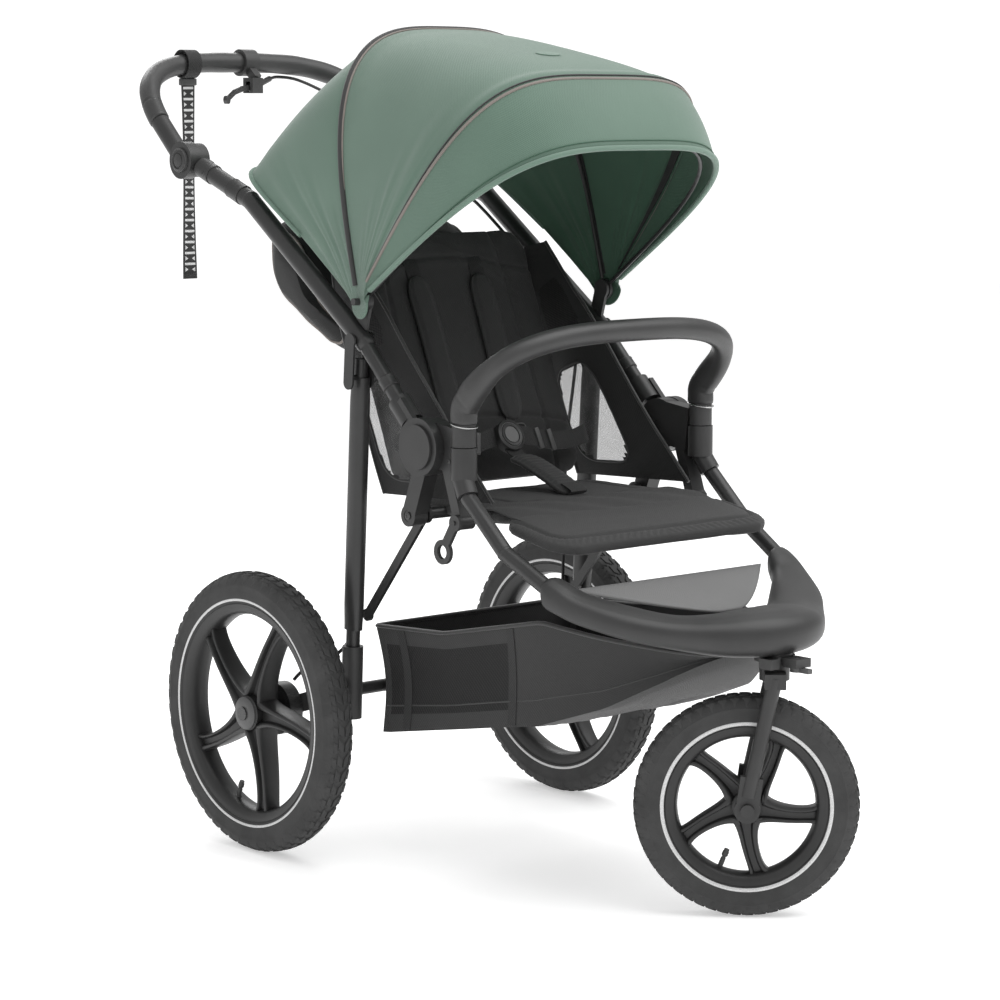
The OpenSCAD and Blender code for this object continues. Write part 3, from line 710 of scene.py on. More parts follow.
def archLine(phi, lift, steps=96):
    return canopyRing(phi, steps, -lift)[2:-2]


def canopyTube(name, phi, lift, radius, finish, body, replaces=(), flat=1.0):
    line = archLine(phi, lift)
    way = Vector((0, math.cos(math.radians(phi + 90)), math.sin(math.radians(phi + 90))))
    piece = tubeAlong(name, line, radius, 10, way, flat)
    return settle(piece, body, finish, replaces)


canopyTube("rearBowPiping", 76, 1.4, 0.0042, blackPiping, "push_frame")
canopyTube("rearBowEdge", 76.9, 1.0, 0.0016, greyPiping, "push_frame")
canopyTube("midBowPiping", 129.3, 0.6, 0.0022, greyPiping, "canopy_mid", ("mid_bow",))
canopyTube("midBowSeam", 128.4, 1.6, 0.0011, blackPiping, "canopy_mid")
canopyTube("visorBinding", 146.2, 0.4, 0.0046, canopyTrim, "canopy_front", (), 0.8)
canopyTube("visorStitch", 144.6, 0.4, 0.0009, canopyLining, "canopy_front")


def innerBand(name, phi, depth, wide, body):
    # black channel that holds a bow against the lining
    line = archLine(phi, -depth, 84)
    sides = [Vector((0, -math.sin(math.radians(phi)), math.cos(math.radians(phi)))) for _ in line]
    piece = ribbon(name, line, sides, lambda s: wide * (0.12 + 0.88 * ease(min(s, 1 - s) * 3.6)), 0.0012)
    return settle(piece, body, blackCloth)


innerBand("rearBowChannel", 76, 5.0, 0.018, "push_frame")
innerBand("midBowChannel", 127.4, 6.0, 0.016, "canopy_mid")

# hem along the back of the hood, and the blank oval tab on its top
canopyTube("canopyRearHem", 32.4, 0.2, 0.0042, canopyTrim, "push_frame", (), 0.8)


def hoodPoint(x, phi, lift):
    a, b, n = canopySection(phi)
    d = (b + lift) * (1 - abs(x / a) ** n) ** (1 / n)
    y, z = canopy["pivot"]
    return at(x, y + d * math.cos(math.radians(phi)), z + d * math.sin(math.radians(phi)))


ovalRings = []
for reach in (1.0, 0.97, 0.86, 0.7, 0.4, 0.02):
    lift = 0.4 if reach == 1.0 else 1.6
    ovalRings.append([hoodPoint(-4 + 21 * reach * math.cos(math.tau * k / 40),
                                111.2 + 1.9 * reach * math.sin(math.tau * k / 40), lift)
                      for k in range(40)])
oval = loft("canopyOvalTab", ovalRings, True, True, (), 50)
settle(oval, None, canopyTrim)
root - across * 0.09
root + across * 0.09
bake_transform(oval)
print("canopy is sewn")


# wheels

wheels = {"blocks": 56, "rearCentre": (297, 200, 203), "trail": 35, "steer": 45.7, "swivelY": -538}
rearSize = {"outer": 203, "seat": 156, "half": 24, "hub": 25, "band": 5.2, "bandIn": 5.2,
            "faces": (-22.2, 22.2)}
frontSize = {"outer": 150, "seat": 106, "half": 22.5, "hub": 20, "band": 6.0,
             "bandIn": 3.4, "faces": (-20.8, 20.8)}


def wheelMatrix(centre, turn):
    # the piece's own X is the axle and its own Z is where spoke angles start
    return Matrix.Translation(centre) @ turn


def makeTyre(name, outer, seat, half, matrix):
    h = outer - seat
    outline = [(seat - 2.5, -half + 9), (seat + 0.6, -half + 5.4), (seat + 2.6, -half + 3.2),
               (seat + 0.10 * h, -half + 1.6), (seat + 0.24 * h, -half + 0.5), (seat + 0.42 * h, -half),
               (seat + 0.58 * h, -half + 0.9), (seat + 0.60 * h, -half + 0.5),
               (seat + 0.66 * h, -half + 1.8), (seat + 0.80 * h, -half * 0.82),
               (seat + 0.90 * h, -half * 0.62), (outer - 3.0, -half * 0.36), (outer - 2.4, -half * 0.12)]
    profile = (outline + [(r, -x) for r, x in reversed(outline)]
               + [(seat - 4, half - 11), (seat - 5, 0), (seat - 4, 11 - half)])
    carcass = lathe(name, profile, Matrix.Identity(4), 120, 50)
    blocks = []
    lean = math.tau / wheels["blocks"]

    def tread(x0, x1, r0, r1, width0, width1, skew, tall):
        # one lug, laid from x0 to x1 across the tread with slanted ends
        clearSelection()
        bpy.ops.mesh.primitive_cube_add(size=2)
        lug = bpy.context.object
        for v in lug.data.vertices:
            s = (v.co.x + 1) / 2
            r = mix(r0, r1, s) + (0 if v.co.z > 0 else -tall)
            a = (skew * s + v.co.y * mix(width0, width1, s) / 2 * (1 if v.co.z > 0 else 1.25)) * lean
            v.co = Vector((mix(x0, x1, s), r * math.sin(a), r * math.cos(a))) / 1000
        return lug

    for side in (-1, 1):
        blocks.append(tread(side * half * 0.06, side * half * 0.40, outer, outer - 0.9,
                            0.52, 0.62, 0.34, 3.4))
        blocks.append(tread(side * half * 0.46, side * half * 0.70, outer - 1.6,
                            seat + 0.91 * h, 0.60, 0.46, 0.2, 3.4))
        blocks.append(tread(side * half * 0.70, side * half * 0.93, seat + 0.915 * h,
                            seat + 0.70 * h, 0.58, 0.10, 0.1, 2.6))
    for lug in blocks:
        if lug.data.vertices[1].co.x < 0:
            lug.data.flip_normals()
    sector = joined("treadSector", blocks)
    finishShape(sector, (("BEVEL", {"width": 0.0006, "segments": 1}),), 30, False, True)
    copies = [carcass, sector]
    for k in range(1, wheels["blocks"]):
        copies.append(copyOf(sector, "treadCopy", Matrix.Rotation(lean * k, 4, "X")))
    tyre = joined(name, copies)
    tyre.data.transform(matrix)
    return tyre


def makeRim(name, seat, hub, half, start, matrix, swirl):
    well = [(seat - 15, -4), (seat - 12, -half + 8.5), (seat - 8.5, -half + 5.6), (seat - 3, -half + 4.2),
            (seat + 1.2, -half + 3.4), (seat + 2.2, -half + 4.4), (seat + 1.2, -half + 5.6),
            (seat - 1.2, -half + 6.6), (seat - 5, -half + 12)]
    ring = lathe(name, well + [(r, -x) for r, x in reversed(well)], Matrix.Identity(4), 120, 40)
    spokes = []
    inner, outer = hub - 4, seat - 12.5
    rings = []
    for i in range(17):
        q = i / 16
        r = mix(inner, outer, q)
        a = math.radians(swirl * q * (0.35 + 0.3 * q))
        centre = Vector((0, math.sin(a), math.cos(a))) * r / 1000
        slope = a + math.radians(0.35 * swirl * q)
        side = Vector((0, math.cos(slope), -math.sin(slope)))
        wide = (mix(11.5, 9.8, q) + 12 * math.exp(-q * 6) + 4.5 * math.exp(-(1 - q) * 12)) / 1000
        tall = mix(half - 6, half - 11, q) / 1000
        shape = [(-1, -0.6), (-1, 0.6), (-0.92, 0.94), (-0.72, 1.0), (-0.56, 0.92), (-0.44, 0.5),
                 (0.30, 0.5), (0.44, 0.94), (0.62, 1.0), (0.9, 0.94), (1, 0.6), (1, -0.6),
                 (0.9, -0.94), (0.62, -1), (0.44, -0.94), (0.30, -0.5), (-0.44, -0.5), (-0.56, -0.92),
                 (-0.72, -1.0), (-0.92, -0.94)]
        rings.append([centre + side * (s * wide) + Vector((1, 0, 0)) * (x * tall) for s, x in shape])
    spoke = loft("spoke", rings, True, True,
                 (("BEVEL", {"width": 0.0007, "segments": 2, "limit_method": "ANGLE"}),),
                 35)
    for k in range(5):
        spokes.append(copyOf(spoke, "spokeCopy", Matrix.Rotation(-math.radians(start + 72 * k), 4, "X")))
    bpy.data.objects.remove(spoke)
    barrel = lathe("hubBarrel", [(0.3, -half + 1.5), (hub * 0.55, -half + 1.2), (hub * 0.9, -half + 2.6),
                                 (hub, -half + 5), (hub * 0.97, 0), (hub, half - 5),
                                 (hub * 0.9, half - 2.6), (hub * 0.55, half - 1.2), (0.3, half - 1.5)],
                   Matrix.Identity(4), 64, 40)
    rim = joined(name, [ring, barrel, *spokes])
    rim.data.transform(matrix)
    return rim


def makeReflector(name, radius, width, along, bulge, matrix):
    r0, r1 = radius, radius + width
    return lathe(name, [(r0, along), (mix(r0, r1, 0.3), along + bulge), (mix(r0, r1, 0.7), along + bulge),
                        (r1, along), (mix(r0, r1, 0.5), along - bulge)], matrix, 120, 60)


def makeCap(name, radius, along, matrix):
    s = math.copysign(1, along)
    return lathe(name, [(0.2, along), (radius * 0.6, along - 0.6 * s), (radius * 0.9, along - 1.8 * s),
                        (radius, along - 3.6 * s), (radius, along - 7 * s), (0.2, along - 7 * s)], matrix,
                 48, 40)


def makeValve(name, seat, angle, matrix):
    a = math.radians(angle)
    way = Vector((0, math.sin(a), math.cos(a)))
    foot = way * (seat - 12) / 1000
    tip = way * (seat - 40) / 1000
    line = evenly([foot, tip], 22)

    def girth(s):
        return (5.6 if s < 0.12 else 3.4 if s < 0.55 else 2.7 if s < 0.62 else 4.3 if s < 0.9 else 3.6) / 1000
    piece = tubeAlong(name, line, girth, 14, (1, 0, 0))
    piece.data.transform(matrix)
    return piece


def buildWheel(tag, body, centre, turn, size, start, swirl, tyreNode, rimNode, valveAngle, capsAt):
    matrix = wheelMatrix(centre, turn)
    seat, half, hub = size["seat"], size["half"], size["hub"]
    settle(makeTyre(tag + "Tyre", size["outer"], seat, half, matrix), body, tyreRubber, (tyreNode,))
    settle(makeRim(tag + "Rim", seat, hub, half, start, matrix, swirl), body, rimPlastic,
           (rimNode,))
    for i, along in enumerate(size["faces"]):
        band = makeReflector(tag + "Reflector%d" % i, seat + size["bandIn"], size["band"], along,
                             1.2 * math.copysign(1, along), matrix)
        settle(band, body, reflective)
    for i, along in enumerate(capsAt):
        settle(makeCap(tag + "Cap%d" % i, hub - 1.4, along, matrix), body, capPlastic)
    settle(makeValve(tag + "Valve", seat, valveAngle, matrix), body, plastic)


x, y, z = wheels["rearCentre"]
buildWheel("rearRight", "rear_wheel_right", at(-x, y, z), Matrix.Identity(4), rearSize, -18, -14,
           "rear_tyre_right", "rear_rim_right", 160, (-27,))
buildWheel("rearLeft", "rear_wheel_left", at(x, y, z), Matrix.Identity(4), rearSize, 198, 14,
           "rear_tyre_left", "rear_rim_left", -20, (27,))
steer = math.radians(wheels["steer"])
frontCentre = at(-wheels["trail"] * math.sin(steer),
                 wheels["swivelY"] + wheels["trail"] * math.cos(steer), 150)
buildWheel("front", "front_wheel", frontCentre, Matrix.Rotation(steer, 4, "Z"), frontSize, 182, 14,
           "front_tyre", "front_rim", 158, ())
print("wheels are built")
# handlebar and bumper covers

handle = {"middle": (456, 987), "half": 230, "reach": 232, "square": 3.3, "lean": 39.5, "grip": 15.5,
          "coverFrom": 12, "coverTo": 168}


def archPoint(middle, half, reach, square, lean, t):
    s, c = math.sin(math.radians(t)), math.cos(math.radians(t))
    d = reach * s ** (2 / square)
    return at(math.copysign(half * abs(c) ** (2 / square), c), middle[0] + d * math.cos(math.radians(lean)),
              middle[1] + d * math.sin(math.radians(lean)))


def handlePoint(t):
    return archPoint(handle["middle"], handle["half"], handle["reach"], handle["square"], handle["lean"], t)


def gripGirth(s):
    # covered bar: a thin seam near each end, a rolled lip at the very ends
    near = min(s, 1 - s)
    return (handle["grip"] - 1.6 * bell(near, 0.0025) - 1.3 * bell(near - 0.062, 0.0022)
            + 0.25 * math.sin(near * 60) * (near > 0.07)) / 1000


gripLine = evenly([handlePoint(t) for t in spread(handle["coverFrom"], handle["coverTo"], 160)], 241)
gripUp = (0, math.cos(math.radians(129.5)), math.sin(math.radians(129.5)))
grip = tubeAlong("handleGrip", gripLine, gripGirth, 28, gripUp, 1.0, 2.0, 60)
settle(grip, "handle", gripCover, ("handle_bar",))

bumper = {"side": 224, "along": -172, "round": 15.3, "legWide": 15.0, "legDeep": 19.5, "reach": 122,
          "square": 3, "lean": 134.5, "arch": (-181, 676)}
bumperFoot = [(bumper["side"], bumper["along"], 642), (bumper["side"], bumper["along"], 652),
              (bumper["side"] - 0.4, bumper["along"] - 2, 666)]
bumperLine = [at(x, y, z) for x, y, z in bumperFoot]
bumperLine += [archPoint(bumper["arch"], bumper["side"], bumper["reach"], bumper["square"], bumper["lean"], t)
               for t in spread(3, 177, 90)]
bumperLine += [at(-x, y, z) for x, y, z in reversed(bumperFoot)]
bumperLine = evenly(curveThrough(bumperLine, 3), 261)


def bumperRings():
    # round over the lap, a deep oval leg over each socket
    rings = []
    up = Vector((0, -0.7, -0.71))
    for i, point in enumerate(bumperLine):
        way = (bumperLine[min(i + 1, 260)] - bumperLine[max(i - 1, 0)]).normalized()
        side = way.cross(up).normalized()
        own = side.cross(way).normalized()
        near = min(i, 260 - i) / 260
        leg = 1 - ease((near - 0.07) / 0.1)
        seam = 1 - 0.07 * bell(near - 0.052, 0.0018) - 0.05 * bell(near, 0.003)
        wide = mix(bumper["round"], bumper["legWide"], leg) * seam / 1000
        deep = mix(bumper["round"], bumper["legDeep"], leg) * seam / 1000
        rings.append(ringRound(point, side, own, wide, deep, 28, mix(2.0, 2.5, leg)))
    return rings


settle(loft("bumperGrip", bumperRings(), True, True, (), 60), "bumper", gripCover,
       ("bumper_bar",))
for side, tag in ((-1, "Right"), (1, "Left")):
    ring = [at(side * bumper["side"] + 17.2 * math.cos(math.tau * k / 40),
               bumper["along"] + 19.6 * math.sin(math.tau * k / 40),
               640.5 + 3.4 * math.sin(math.tau * k / 40)) for k in range(41)]
    settle(tubeAlong("bumperRing" + tag, ring, 0.0011, 8, (0, 0, 1)), "bumper", chrome)
print("bars are covered")


# moulded discs on the fold hinges and handle hinges

def discCover(name, x, centre, radii, side):
    # stepped lens with a ring groove, its face turned outwards
    s = side
    outer, inner = radii
    profile = [(0.2, 2.4), (inner * 0.5, 2.2), (inner * 0.93, 1.5), (inner, 0.3),
               (inner + 1.4, 0.2), (inner + 2.4, 1.8), (outer * 0.9, 1.6), (outer * 0.97, 0.7),
               (outer, -0.6), (outer, -1.6), (0.2, -1.6)]
    matrix = Matrix.Translation(at(x * s, *centre))
    return lathe(name, [(r, a * s) for r, a in profile], matrix, 72, 40)


for side, tag in ((-1, "right"), (1, "left")):
    big = discCover("foldDiscFace_" + tag, 246.8, (-100, 606), (30.4, 21), side)
    settle(big, "push_frame", discPlastic)
    cap = discCover("handleButtonFace_" + tag, 249.6, (447, 987), (16.6, 10.4), side)
    settle(cap, "handle_button_" + tag, discPlastic)
print("discs are capped")


# cushions: swollen by cloth pressure, then stitched

pads = {"voxel": 0.0055, "pressure": 4.0, "frames": 20}


def swell(piece, cap, voxel):
    # air pressure on a remeshed copy, each point held within the cap
    pick(piece)
    remesh = piece.modifiers.new("weave", "REMESH")
    remesh.mode = "VOXEL"
    remesh.voxel_size = voxel
    bpy.ops.object.modifier_apply(modifier="weave")
    start = [v.co.copy() for v in piece.data.vertices]
    cloth = piece.modifiers.new("filling", "CLOTH")
    cloth.settings.use_pressure = True
    cloth.settings.uniform_pressure_force = pads["pressure"]
    cloth.settings.effector_weights.gravity = 0
    cloth.settings.quality = 4
    cloth.point_cache.frame_start = 1
    cloth.point_cache.frame_end = pads["frames"]
    for f in range(1, pads["frames"] + 1):
        bpy.context.scene.frame_set(f)
    seen = piece.evaluated_get(bpy.context.evaluated_depsgraph_get())
    puffed = [v.co.copy() for v in seen.data.vertices]
    piece.modifiers.remove(cloth)
    bpy.context.scene.frame_set(1)
    for vertex, before, after in zip(piece.data.vertices, start, puffed):
        move = after - before
        vertex.co = before + move * min(1.0, cap / max(move.length, 1e-6))
    return piece


def pad(name, size, corner, crown, matrix, body, finish, replaces, cap=0.004, cuts=28,
        stitchIt=None, voxel=None, swollen=True):
    # a rounded slab in its own x, y (thickness) and z, then placed
    wide, thick, tall = size
    clearSelection()
    bpy.ops.mesh.primitive_cube_add(size=2)
    piece = bpy.context.object
    piece.name = name
    bpy.ops.object.mode_set(mode="EDIT")
    bpy.ops.mesh.select_all(action="SELECT")
    bpy.ops.mesh.subdivide(number_cuts=cuts)
    bpy.ops.object.mode_set(mode="OBJECT")
    for vertex in piece.data.vertices:
        u, v, w = vertex.co
        x, z = u * wide / 2, w * tall / 2
        overX, overZ = abs(x) - (wide / 2 - corner), abs(z) - (tall / 2 - corner)
        if overX > 0 and overZ > 0:
            # corners are pulled on to their arc
            far = math.hypot(overX, overZ)
            shrink = max(overX, overZ) / far
            x = math.copysign(wide / 2 - corner + overX * shrink, x)
            z = math.copysign(tall / 2 - corner + overZ * shrink, z)
        edge = max(abs(u), abs(w))
        round_ = 1 - crown * edge ** 5
        vertex.co = (x, v * thick / 2 * round_, z)
    finishShape(piece, (), None)
    if swollen:
        swell(piece, cap, voxel or pads["voxel"])
    smoother = piece.modifiers.new("smoother", "SUBSURF")
    smoother.levels = smoother.render_levels = 1
    pick(piece)
    bpy.ops.object.modifier_apply(modifier="smoother")
    if stitchIt:
        for vertex in piece.data.vertices:
            vertex.co = stitchIt(vertex.co.copy())
    bpy.ops.object.shade_smooth()
    piece.data.transform(matrix)
    settle(piece, body, finish, replaces)
    return piece


def groove(d, width, depth):
    return -depth * bell(d, width)


backPlace = Matrix.Translation(at(0, 10, 516)) @ turnX(-22)


def backFolds(p):
    # stitched channels and the slack folds below the top edge, on the front face only
    if p.y > 0:
        return p
    x, z = p.x * 1000, p.z * 1000
    drop = groove(z + 95 + 0.0006 * x * x, 3.4, 4.6) + groove(abs(x) - 118 + (z + 40) * 0.03, 3.0, 3.4)
    drop += groove(z - 138 - 12 * math.cos(x / 60), 3.0, 2.4) + 1.6 * bell(z - 128 - 12 * math.cos(x / 60), 7)
    for a, b, slope in ((-60, 150, 0.5), (30, 158, -0.4), (90, 120, -0.7), (-110, 112, 0.8)):
        drop += 1.5 * bell((z - b) - slope * (x - a), 5) * bell(x - a, 34)
    drop += 0.5 * math.sin(x * 0.09 + z * 0.03) * math.sin(z * 0.05)
    return Vector((p.x, p.y - drop / 1000, p.z))


pad("backCushion", (0.354, 0.022, 0.386), 0.034, 0.42, backPlace @ Matrix.Translation((0, 0.013, 0.209)),
    "backrest", seatCloth, ("backrest",), 0.004, 30, backFolds)


def seatPull(p):
    x, y = p.x * 1000, p.y * 1000
    if p.z < 0:
        return p
    drop = (groove(abs(x) - 118, 3.0, 3.4) + groove(y + 70, 3.0, 2.6)
            + 0.5 * math.sin(x * 0.06) * math.sin(y * 0.08))
    return Vector((p.x, p.y, p.z + drop / 1000))


def flatPad(name, size, corner, crown, centre, tilt, body, finish, replaces, cap, cuts, stitch,
            swollen=True):
    # a pad that lies down: its thickness is turned up
    lie = Matrix.Rotation(math.radians(-90), 4, "X")

    def turned(p):
        q = lie @ p
        return lie.inverted() @ stitch(q)
    return pad(name, size, corner, crown, Matrix.Translation(centre) @ turnX(tilt) @ lie, body, finish,
               replaces, cap, cuts, turned, None, swollen)


flatPad("seatCushion", (0.342, 0.024, 0.188), 0.026, 0.4, at(0, -93, 511), 0, "chassis", seatCloth,
        ("seat_pad",), 0.0035, 24, seatPull)


def legStitch(p):
    # border channel with close ribs round a smooth middle
    if p.z < 0:
        return p
    x, y = p.x * 1000, p.y * 1000
    edge = min(206 - abs(x), y + 64.0)
    if abs(x) > 156 and y < -14:
        edge = min(edge, 50 - math.hypot(abs(x) - 156, y + 14))
    drop = groove(edge - 18, 3.0, 4.2)
    if edge < 15:
        drop += (0.8 * math.sin(math.tau * (abs(x) * 0.8 + y * 0.8) / 10) * ease(edge / 4)
                 * ease((15 - edge) / 3))
    drop += (0.9 * bell(y + 10 + 0.1 * x, 12) * bell(x + 60, 60)
             - 0.7 * bell(y - 22 - 0.06 * x, 8) * bell(x - 70, 50))
    return Vector((p.x, p.y, p.z + drop / 1000))


legPlace = at(0, -204, 503) + turnX(11) @ Vector((0, -0.076, 0.008))
flatPad("legCushion", (0.416, 0.0205, 0.138), 0.046, 0.4, legPlace, 11, "leg_rest", seatCloth,
                     ("leg_rest",), 0.0035, 30, legStitch)

# cloth that joins the seat to the leg rest over its hinge
bridge = {"half": 182, "line": [(-150, 523.2), (-168, 524.6), (-190, 524.0), (-208, 522.2),
                                (-226, 519.0), (-246, 514.4)]}
bridgeLine = evenly(curveThrough([at(0, y, z) for y, z in bridge["line"]], 6), 24)
bridgeRings = []
for point in bridgeLine:
    bridgeRings.append([point + Vector((mix(-bridge["half"], bridge["half"], k / 40) / 1000, 0,
                                        0.0011 * math.sin(k * 0.7 + point.y * 90)
                                        - 0.003 * (abs(k / 20 - 1)) ** 8)) for k in range(41)])
seatBridge = loft("seatBridge", bridgeRings, False, False, (), 60, False)
bridgeArea = sum(p.area for p in seatBridge.data.polygons)
wall = seatBridge.modifiers.new("cloth", "SOLIDIFY")
wall.thickness, wall.offset = 0.0024, 0
pick(seatBridge)
bpy.ops.object.modifier_apply(modifier="cloth")
bpy.ops.object.shade_smooth_by_angle(angle=math.radians(50))
settle(seatBridge, None, seatCloth)
at(0, -186, 520)
at(0, -216, 520)
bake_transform(seatBridge)
bridgeArea / (bridge["half"] / 500) / 0.97
print("cushions are filled")


def softBand(name, line, side, wide, thick, ribs, body, finish, replaces=(), tight=0.35):
    # a padded strap: rounded rings along a line, with cross ribs and a stitched border
    rings = []
    steps = len(line) - 1
    for i, point in enumerate(line):
        way = (line[min(i + 1, steps)] - line[max(i - 1, 0)]).normalized()
        s = (Vector(side) - way * Vector(side).dot(way)).normalized()
        face = s.cross(way)
        q = i / steps
        ends = (1 - abs(2 * q - 1) ** 10) ** 0.5
        swellNow = 1 + ribs[1] * math.sin(math.pi * q * ribs[0]) ** 2
        ring = []
        for k in range(32):
            a = math.tau * k / 32
            c, t = math.cos(a), math.sin(a)
            u = math.copysign(abs(c) ** 0.75, c)
            h = (math.copysign(abs(t) ** 0.6, t) * (1 - tight * bell(abs(u) - 0.82, 0.09))
                 * (1 - 0.35 * abs(u) ** 6))
            ring.append(point + s * (u * wide / 2 * max(0.08, ends))
                        + face * (h * thick / 2 * swellNow * max(0.15, ends)))
        rings.append(ring)
    piece = loft(name, rings, True, True, (), 60)
    settle(piece, body, finish, replaces)
    return piece


crotchLine = evenly(curveThrough([at(0, -152, 527.5), at(0, -136, 533), at(0, -112, 543.5),
                                  at(0, -84, 554), at(0, -58, 563), at(0, -40, 566), at(0, -27, 566)], 8),
                    90)
softBand("crotchPad", crotchLine, (1, 0, 0), 0.049, 0.0125, (15, 0.2), "chassis", seatCloth,
         ("crotch_pad",))
loopLine = [at(0, y, z) for y, z in ((-148, 527), (-155, 529.5), (-157, 532.5), (-150, 536), (-136, 541))]
crotchLoop = ribbon("crotchLoop", evenly(curveThrough(loopLine, 8), 24), (1, 0, 0), 0.03, 0.0016)
settle(crotchLoop, "chassis", webbingCloth)
crotchWeb = ribbon("crotchWebbing", evenly(curveThrough([at(0, -40, 569), at(0, -26, 573),
                                                         at(0, -14, 582), at(0, -12, 590)], 8), 24),
                   (1, 0, 0), 0.028, 0.0016)
settle(crotchWeb, "chassis", webbingCloth)


def backAt(x, y, z):
    return backPlace @ Vector((x / 1000, y / 1000, z / 1000))


for side, tag in ((-1, "Right"), (1, "Left")):
    line = evenly([backAt(side * mix(55, 60, i / 20), -6.4 + 0.8 * math.sin(i * 0.4),
                          mix(102, 328, i / 20)) for i in range(21)], 100)
    softBand("shoulderPad" + tag, line, (1, 0, 0), 0.044, 0.0105, (1, 0.0), "backrest", seatCloth,
             ("shoulder_straps",) if side < 0 else (), 0.45)
    up = [backAt(side * 60, -3, 322), backAt(side * 61, -2.5, 345), backAt(side * 61, 0.5, 356)]
    settle(ribbon("shoulderWebTop" + tag, evenly(curveThrough(up, 8), 20), (1, 0, 0), 0.026, 0.0015),
           "backrest", webbingCloth)
    down = [backAt(side * 55, -5, 108), backAt(side * 54, -6, 84), backAt(side * 50, -8, 66)]
    settle(ribbon("shoulderWebLow" + tag, evenly(curveThrough(down, 8), 20), (1, 0, 0), 0.026, 0.0015),
           "backrest", webbingCloth)
    frameRing = []
    for k in range(24):
        a = math.tau * k / 24
        frameRing.append(backAt(side * 54 + 17 * math.copysign(abs(math.cos(a)) ** 0.5, math.cos(a)), -8.4,
                                86 + 9 * math.copysign(abs(math.sin(a)) ** 0.5, math.sin(a))))
    frameRing.append(frameRing[0])
    settle(tubeAlong("shoulderSlider" + tag, frameRing, 0.0017, 8, (0, 1, 0.2)),
           "backrest", capPlastic)
    waist = [at(side * 22, -5, 598), at(side * 50, -7, 592), at(side * 90, -6, 584),
             at(side * 130, -2, 584), at(side * 160, 8, 588), at(side * 172, 14, 590)]
    strapPiece = ribbon("waistStrap" + tag, evenly(curveThrough(waist, 10), 60), (0, 0.3, 1), 0.026, 0.0017)
    settle(strapPiece, "chassis", webbingCloth, ("waist_straps",) if side < 0 else ())
    for i, x in enumerate((58, 82)):
        turn = Matrix.Rotation(side * math.radians(-12), 4, "Y") @ turnX(-14)
        block = bevelBlock("waistSlider%s%d" % (tag, i), at(side * x, -8.5, 590 - i * 4),
                           (0.008, 0.005, 0.032), turn, 0.0016, 3)
        settle(block, "chassis", capPlastic)

# round buckle face: rings and a dished push in the middle
buckleTurn = Matrix.Translation(at(0, -8, 596)) @ turnX(62) @ Matrix.Rotation(math.radians(-90), 4, "Y")
bezel = lathe("buckleBezel", [(13.0, 6.2), (14.0, 8.6), (17.2, 9.4), (18.0, 8.2), (19.0, 8.2),
                              (20.0, 9.2), (23.2, 8.0), (24.0, 5.4), (24.0, 4.6), (13.0, 4.6)],
              buckleTurn, 72, 40)
settle(bezel, "chassis", discPlastic)
button = lathe("buckleFace", [(0.2, 6.8), (4.0, 6.9), (4.8, 7.8), (6.2, 7.8), (7.0, 6.9), (10.0, 7.2),
                              (11.4, 6.4), (11.6, 5.2), (0.2, 5.2)], buckleTurn, 64, 40)
settle(button, "buckle_button", capPlastic)
print("harness is fitted")


# cloth sides of the seat, each with a sheer window

wing = {"front": [(-188, 532), (-118, 604), (-40, 692), (34, 776), (80, 822), (120, 866)],
        "rear": [(46, 524), (76, 588), (102, 650), (126, 706), (150, 776), (166, 856)], "inside": 185.5}


def railPoint(points, s):
    spot = s * (len(points) - 1)
    i = min(int(spot), len(points) - 2)
    return (mix(points[i][0], points[i + 1][0], spot - i), mix(points[i][1], points[i + 1][1], spot - i))


def wingPoint(side, u, v):
    fy, fz = railPoint(wing["front"], v)
    ry, rz = railPoint(wing["rear"], v)
    sag = (3.0 * math.sin(math.pi * u) * math.sin(math.pi * v)
           + 1.3 * math.sin(u * 7 + v * 16) * math.sin(math.pi * v))
    return at(side * (wing["inside"] + sag), mix(fy, ry, u), mix(fz, rz, u))


for side, tag in ((-1, "Right"), (1, "Left")):
    rings = [[wingPoint(side, u, v) for u in spread(0, 1, 30)] for v in spread(0, 1, 60)]
    wingSheet = loft("sidePanel" + tag, rings, False, False, (), 60, False)
    area = sum(p.area for p in wingSheet.data.polygons)
    dress(wingSheet, blackCloth, sheerMesh, darkMesh)
    for face in wingSheet.data.polygons:
        row, column = divmod(face.index, 30)
        v, u = (row + 0.5) / 60, (column + 0.5) / 30
        window = ((u - 0.66) / 0.26) ** 4 + ((v - 0.26) / 0.19) ** 4 < 1
        patch = ((u - 0.5) / 0.3) ** 4 + ((v - 0.68) / 0.14) ** 4 < 1
        face.material_index = 1 if window else 2 if patch else 0
    wall = wingSheet.modifiers.new("cloth", "SOLIDIFY")
    wall.thickness, wall.offset = 0.0014, 0
    pick(wingSheet)
    bpy.ops.object.modifier_apply(modifier="cloth")
    bpy.ops.object.shade_smooth_by_angle(angle=math.radians(50))
    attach(wingSheet, "chassis")
    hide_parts("side_panel_" + tag.lower())
    area / 0.40 / 0.8
    for i, u in enumerate((0.0, 1.0)):
        edge = evenly([wingPoint(side, u, v) for v in spread(0, 1, 40)], 70)
        settle(tubeAlong("sidePanelEdge%s%d" % (tag, i), edge, 0.0024, 8, (1, 0, 0)),
               "chassis", blackPiping)
    hoopLine = [wingPoint(side, 0.66 + 0.27 * math.copysign(abs(math.cos(a)) ** 0.5, math.cos(a)),
                          0.26 + 0.2 * math.copysign(abs(math.sin(a)) ** 0.5, math.sin(a)))
                for a in (math.tau * k / 60 for k in range(61))]
    settle(tubeAlong("windowBinding" + tag, hoopLine, 0.0019, 8, (1, 0, 0)), "chassis",
           blackPiping)
print("side panels are sewn")


# shopping basket: a sagging lofted shell with mesh sides

